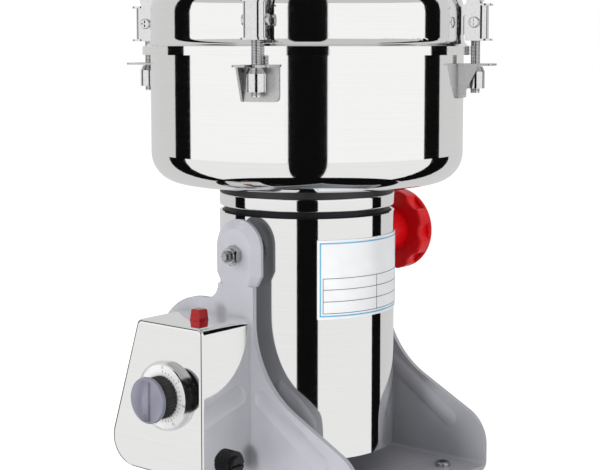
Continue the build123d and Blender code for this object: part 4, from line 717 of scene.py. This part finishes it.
class GRINDER_OT_stage(bpy.types.Operator):
    """Pale floor, soft light, studio flags and the camera"""

    bl_idname = "grinder.stage"
    bl_label = "Studio"

    # Camera from the can's axis in millimetres, its turn about the axis and its drop in degrees
    CAMERA_PLACE = (-630.85, -514.93, 259.99)
    CAMERA_TURN = 39.517
    CAMERA_DROP = 5.255
    CAMERA_LENS = 82.348
    CAMERA_SHIFT = -0.1

    # Brightness of the world as fill light and of the floor's glow, and the height that the lamps aim at
    FILL_LEVEL = 0.55
    FLOOR_LEVEL = 0.66
    AIM_HEIGHT = 0.15

    def execute(self, context):
        scene = context.scene
        scene.view_settings.view_transform = "Standard"
        self.make_floor()
        self.make_world(scene)
        self.make_flags()
        self.make_lamps()
        self.make_camera(scene)
        return {"FINISHED"}

    def backdrop_rays(self, tree):
        """One for camera, glossy and transmission rays, and zero for the light that falls on surfaces."""
        path = add(tree, "LightPath").outputs
        first = add(tree, "Math", {0: path["Is Camera Ray"], 1: path["Is Glossy Ray"]}, operation="MAXIMUM")
        inputs = {0: first.outputs[0], 1: path["Is Transmission Ray"]}
        return add(tree, "Math", inputs, operation="MAXIMUM").outputs[0]

    def make_world(self, scene):
        """White behind the object, and a plain level of fill on it."""
        world = bpy.data.worlds.new("white_studio")
        world.use_nodes = True
        tree = world.node_tree
        background = tree.nodes["Background"]
        background.inputs["Color"].default_value = (1, 1, 1, 1)
        level = add(tree, "MapRange", {"Value": self.backdrop_rays(tree), "To Min": self.FILL_LEVEL})
        tree.links.new(level.outputs["Result"], background.inputs["Strength"])
        scene.world = world

    def make_floor(self):
        """White paper that keeps the object's shadow."""
        bm = bmesh.new()
        bmesh.ops.create_circle(bm, cap_ends=True, radius=6.0, segments=96)
        mesh = bpy.data.meshes.new("floor")
        bm.to_mesh(mesh)
        bm.free()
        floor = bpy.data.objects.new("floor", mesh)
        bpy.context.scene.collection.objects.link(floor)
        material, tree, shader = new_material("white_paper", {"Roughness": 0.9, "Specular IOR Level": 0.0})
        shader.inputs["Base Color"].default_value = linear("E0E0E0")
        lift = add(tree, "MapRange", {"Value": self.backdrop_rays(tree), "To Max": self.FLOOR_LEVEL})
        shader.inputs["Emission Color"].default_value = (1, 1, 1, 1)
        tree.links.new(lift.outputs["Result"], shader.inputs["Emission Strength"])
        mesh.materials.append(material)
        floor.visible_glossy = False

    def make_flags(self):
        """Dark and grey studio flags that only reflections see, as angles from the camera's side."""
        bend = 0.02
        tall = 3.0
        crown = 0.75
        can_low = -0.02
        can_high = 0.186
        close = 0.19
        far = 1.5
        outer = far * 1.04
        dark = 0.004
        pale = 0.88
        grey = 0.66
        ceiling = 0.6
        flags = [
            ("flag_front", far, -13.2, 13.6, -tall, tall, dark),
            ("flag_left_high", far, -107.5, -90.0, bend, tall, dark),
            ("flag_left_close", close, -94.5, -77.0, can_low, can_high, dark),
            ("flag_right_high", far, 90.0, 107.5, bend, tall, dark),
            ("flag_right_low", far, 99.5, 110.0, -tall, bend, dark),
            ("flag_right_close", close, 82.3, 99.5, can_low, can_high, dark),
            ("flag_left_soft", far, -98.0, -13.2, -tall, bend, pale),
            ("flag_right_soft", far, 13.6, 99.5, -tall, bend, pale),
            ("flag_back_high", far, 107.5, 252.5, bend, tall, grey),
            ("flag_back_low", far, 110.0, 262.0, -tall, bend, grey),
            ("flag_crown", outer, 0.0, 360.0, crown, tall, ceiling),
        ]
        for name, distance, start, end, low, high, level in flags:
            self.make_flag(name, distance, start, end, low, high, level)
        self.make_disc("flag_below", -0.3, 0.39, dark)
        self.make_disc("flag_above", tall, outer, ceiling)

    def make_disc(self, name, height, radius, level):
        """One round flag, level over or under the object."""
        bm = bmesh.new()
        place = Matrix.Translation(AXIS + Vector((0, 0, height)))
        bmesh.ops.create_circle(bm, cap_ends=True, radius=radius, segments=48, matrix=place)
        self.hang(name, bm, level)

    def make_flag(self, name, distance, start, end, low, high, level):
        """One curved flag around the object."""
        bm = bmesh.new()
        steps = 24
        rows = []
        for step in range(steps + 1):
            turn = math.radians(self.CAMERA_TURN + 180 + start + (end - start) * step / steps)
            out = AXIS + Vector((math.cos(turn), math.sin(turn), 0)) * distance
            rows.append([bm.verts.new(out + Vector((0, 0, z))) for z in (low, high)])
        for first, second in zip(rows, rows[1:]):
            bm.faces.new((first[0], second[0], second[1], first[1]))
        self.hang(name, bm, level)

    def hang(self, name, bm, level):
        """Put up a flag of a brightness that only reflections see."""
        mesh = bpy.data.meshes.new(name)
        bm.to_mesh(mesh)
        bm.free()
        flag = bpy.data.objects.new(name, mesh)
        bpy.context.scene.collection.objects.link(flag)
        sockets = {
            "Base Color": (0, 0, 0, 1), "Specular IOR Level": 0.0,
            "Emission Color": (1, 1, 1, 1), "Emission Strength": level,
        }
        mesh.materials.append(new_material(name + "_cloth", sockets)[0])
        flag.visible_camera = False
        flag.visible_diffuse = False
        flag.visible_shadow = False
        flag.visible_transmission = False
        flag.visible_volume_scatter = False

    def make_lamps(self):
        """A large soft key from the left and behind, a small lamp on the left and a wide fill in front."""
        lamps = [
            ("key", (-1.15, 0.7, 0.75), 0.9, 7.5),
            ("side", (-1.3, -0.12, 0.12), 0.3, 8.5),
            ("fill", (0.25, -1.6, 0.4), 1.0, 9.0),
        ]
        for name, place, size, power in lamps:
            data = bpy.data.lights.new(name, "AREA")
            data.size = size
            data.energy = power
            lamp = bpy.data.objects.new(name, data)
            lamp.location = place
            aim = Vector((0, 0, self.AIM_HEIGHT)) - Vector(place)
            lamp.rotation_mode = "QUATERNION"
            lamp.rotation_quaternion = aim.to_track_quat("-Z", "Y")
            lamp.visible_glossy = False
            bpy.context.scene.collection.objects.link(lamp)

    def make_camera(self, scene):
        """Camera at the photograph's viewing angle."""
        data = bpy.data.cameras.new("camera")
        data.sensor_width = 36.0
        data.lens = self.CAMERA_LENS
        data.shift_y = self.CAMERA_SHIFT
        data.clip_start = 0.01
        camera = bpy.data.objects.new("camera", data)
        camera.location = AXIS + Vector(self.CAMERA_PLACE) * MM
        pitch = math.radians(90 - self.CAMERA_DROP)
        camera.rotation_euler = (pitch, 0, math.radians(self.CAMERA_TURN - 90))
        scene.collection.objects.link(camera)
        scene.camera = camera


class GRINDER_PT_panel(bpy.types.Panel):
    """Lists the grinder's steps and values"""

    bl_idname = "GRINDER_PT_panel"
    bl_label = "Spice grinder"
    bl_space_type = "VIEW_3D"
    bl_region_type = "UI"
    bl_category = "Grinder"

    def draw(self, context):
        layout = self.layout
        for operator in OPERATORS:
            layout.operator(operator.bl_idname)
        for group in (context.scene.grinder_colours, context.scene.grinder_sizes):
            for name in group.bl_rna.properties.keys():
                if name not in ("rna_type", "name"):
                    layout.prop(group, name)


OPERATORS = (
    GRINDER_OT_shells, GRINDER_OT_stand, GRINDER_OT_control_box, GRINDER_OT_timer, GRINDER_OT_label,
    GRINDER_OT_latches, GRINDER_OT_lock_knob, GRINDER_OT_motor, GRINDER_OT_stage,
)
CLASSES = (GrinderColours, GrinderSizes) + OPERATORS + (GRINDER_PT_panel,)


def register():
    """Register the classes and their scene values."""
    for item in CLASSES:
        bpy.utils.register_class(item)
    bpy.types.Scene.grinder_colours = PointerProperty(type=GrinderColours)
    bpy.types.Scene.grinder_sizes = PointerProperty(type=GrinderSizes)


def unregister():
    """Remove the scene values and the classes."""
    del bpy.types.Scene.grinder_sizes
    del bpy.types.Scene.grinder_colours
    for item in reversed(CLASSES):
        bpy.utils.unregister_class(item)


def main():
    """Dress the frame."""
    register()
    for operator in OPERATORS:
        group, name = operator.bl_idname.split(".")
        getattr(getattr(bpy.ops, group), name)()


if __name__ == "__main__":
    main()
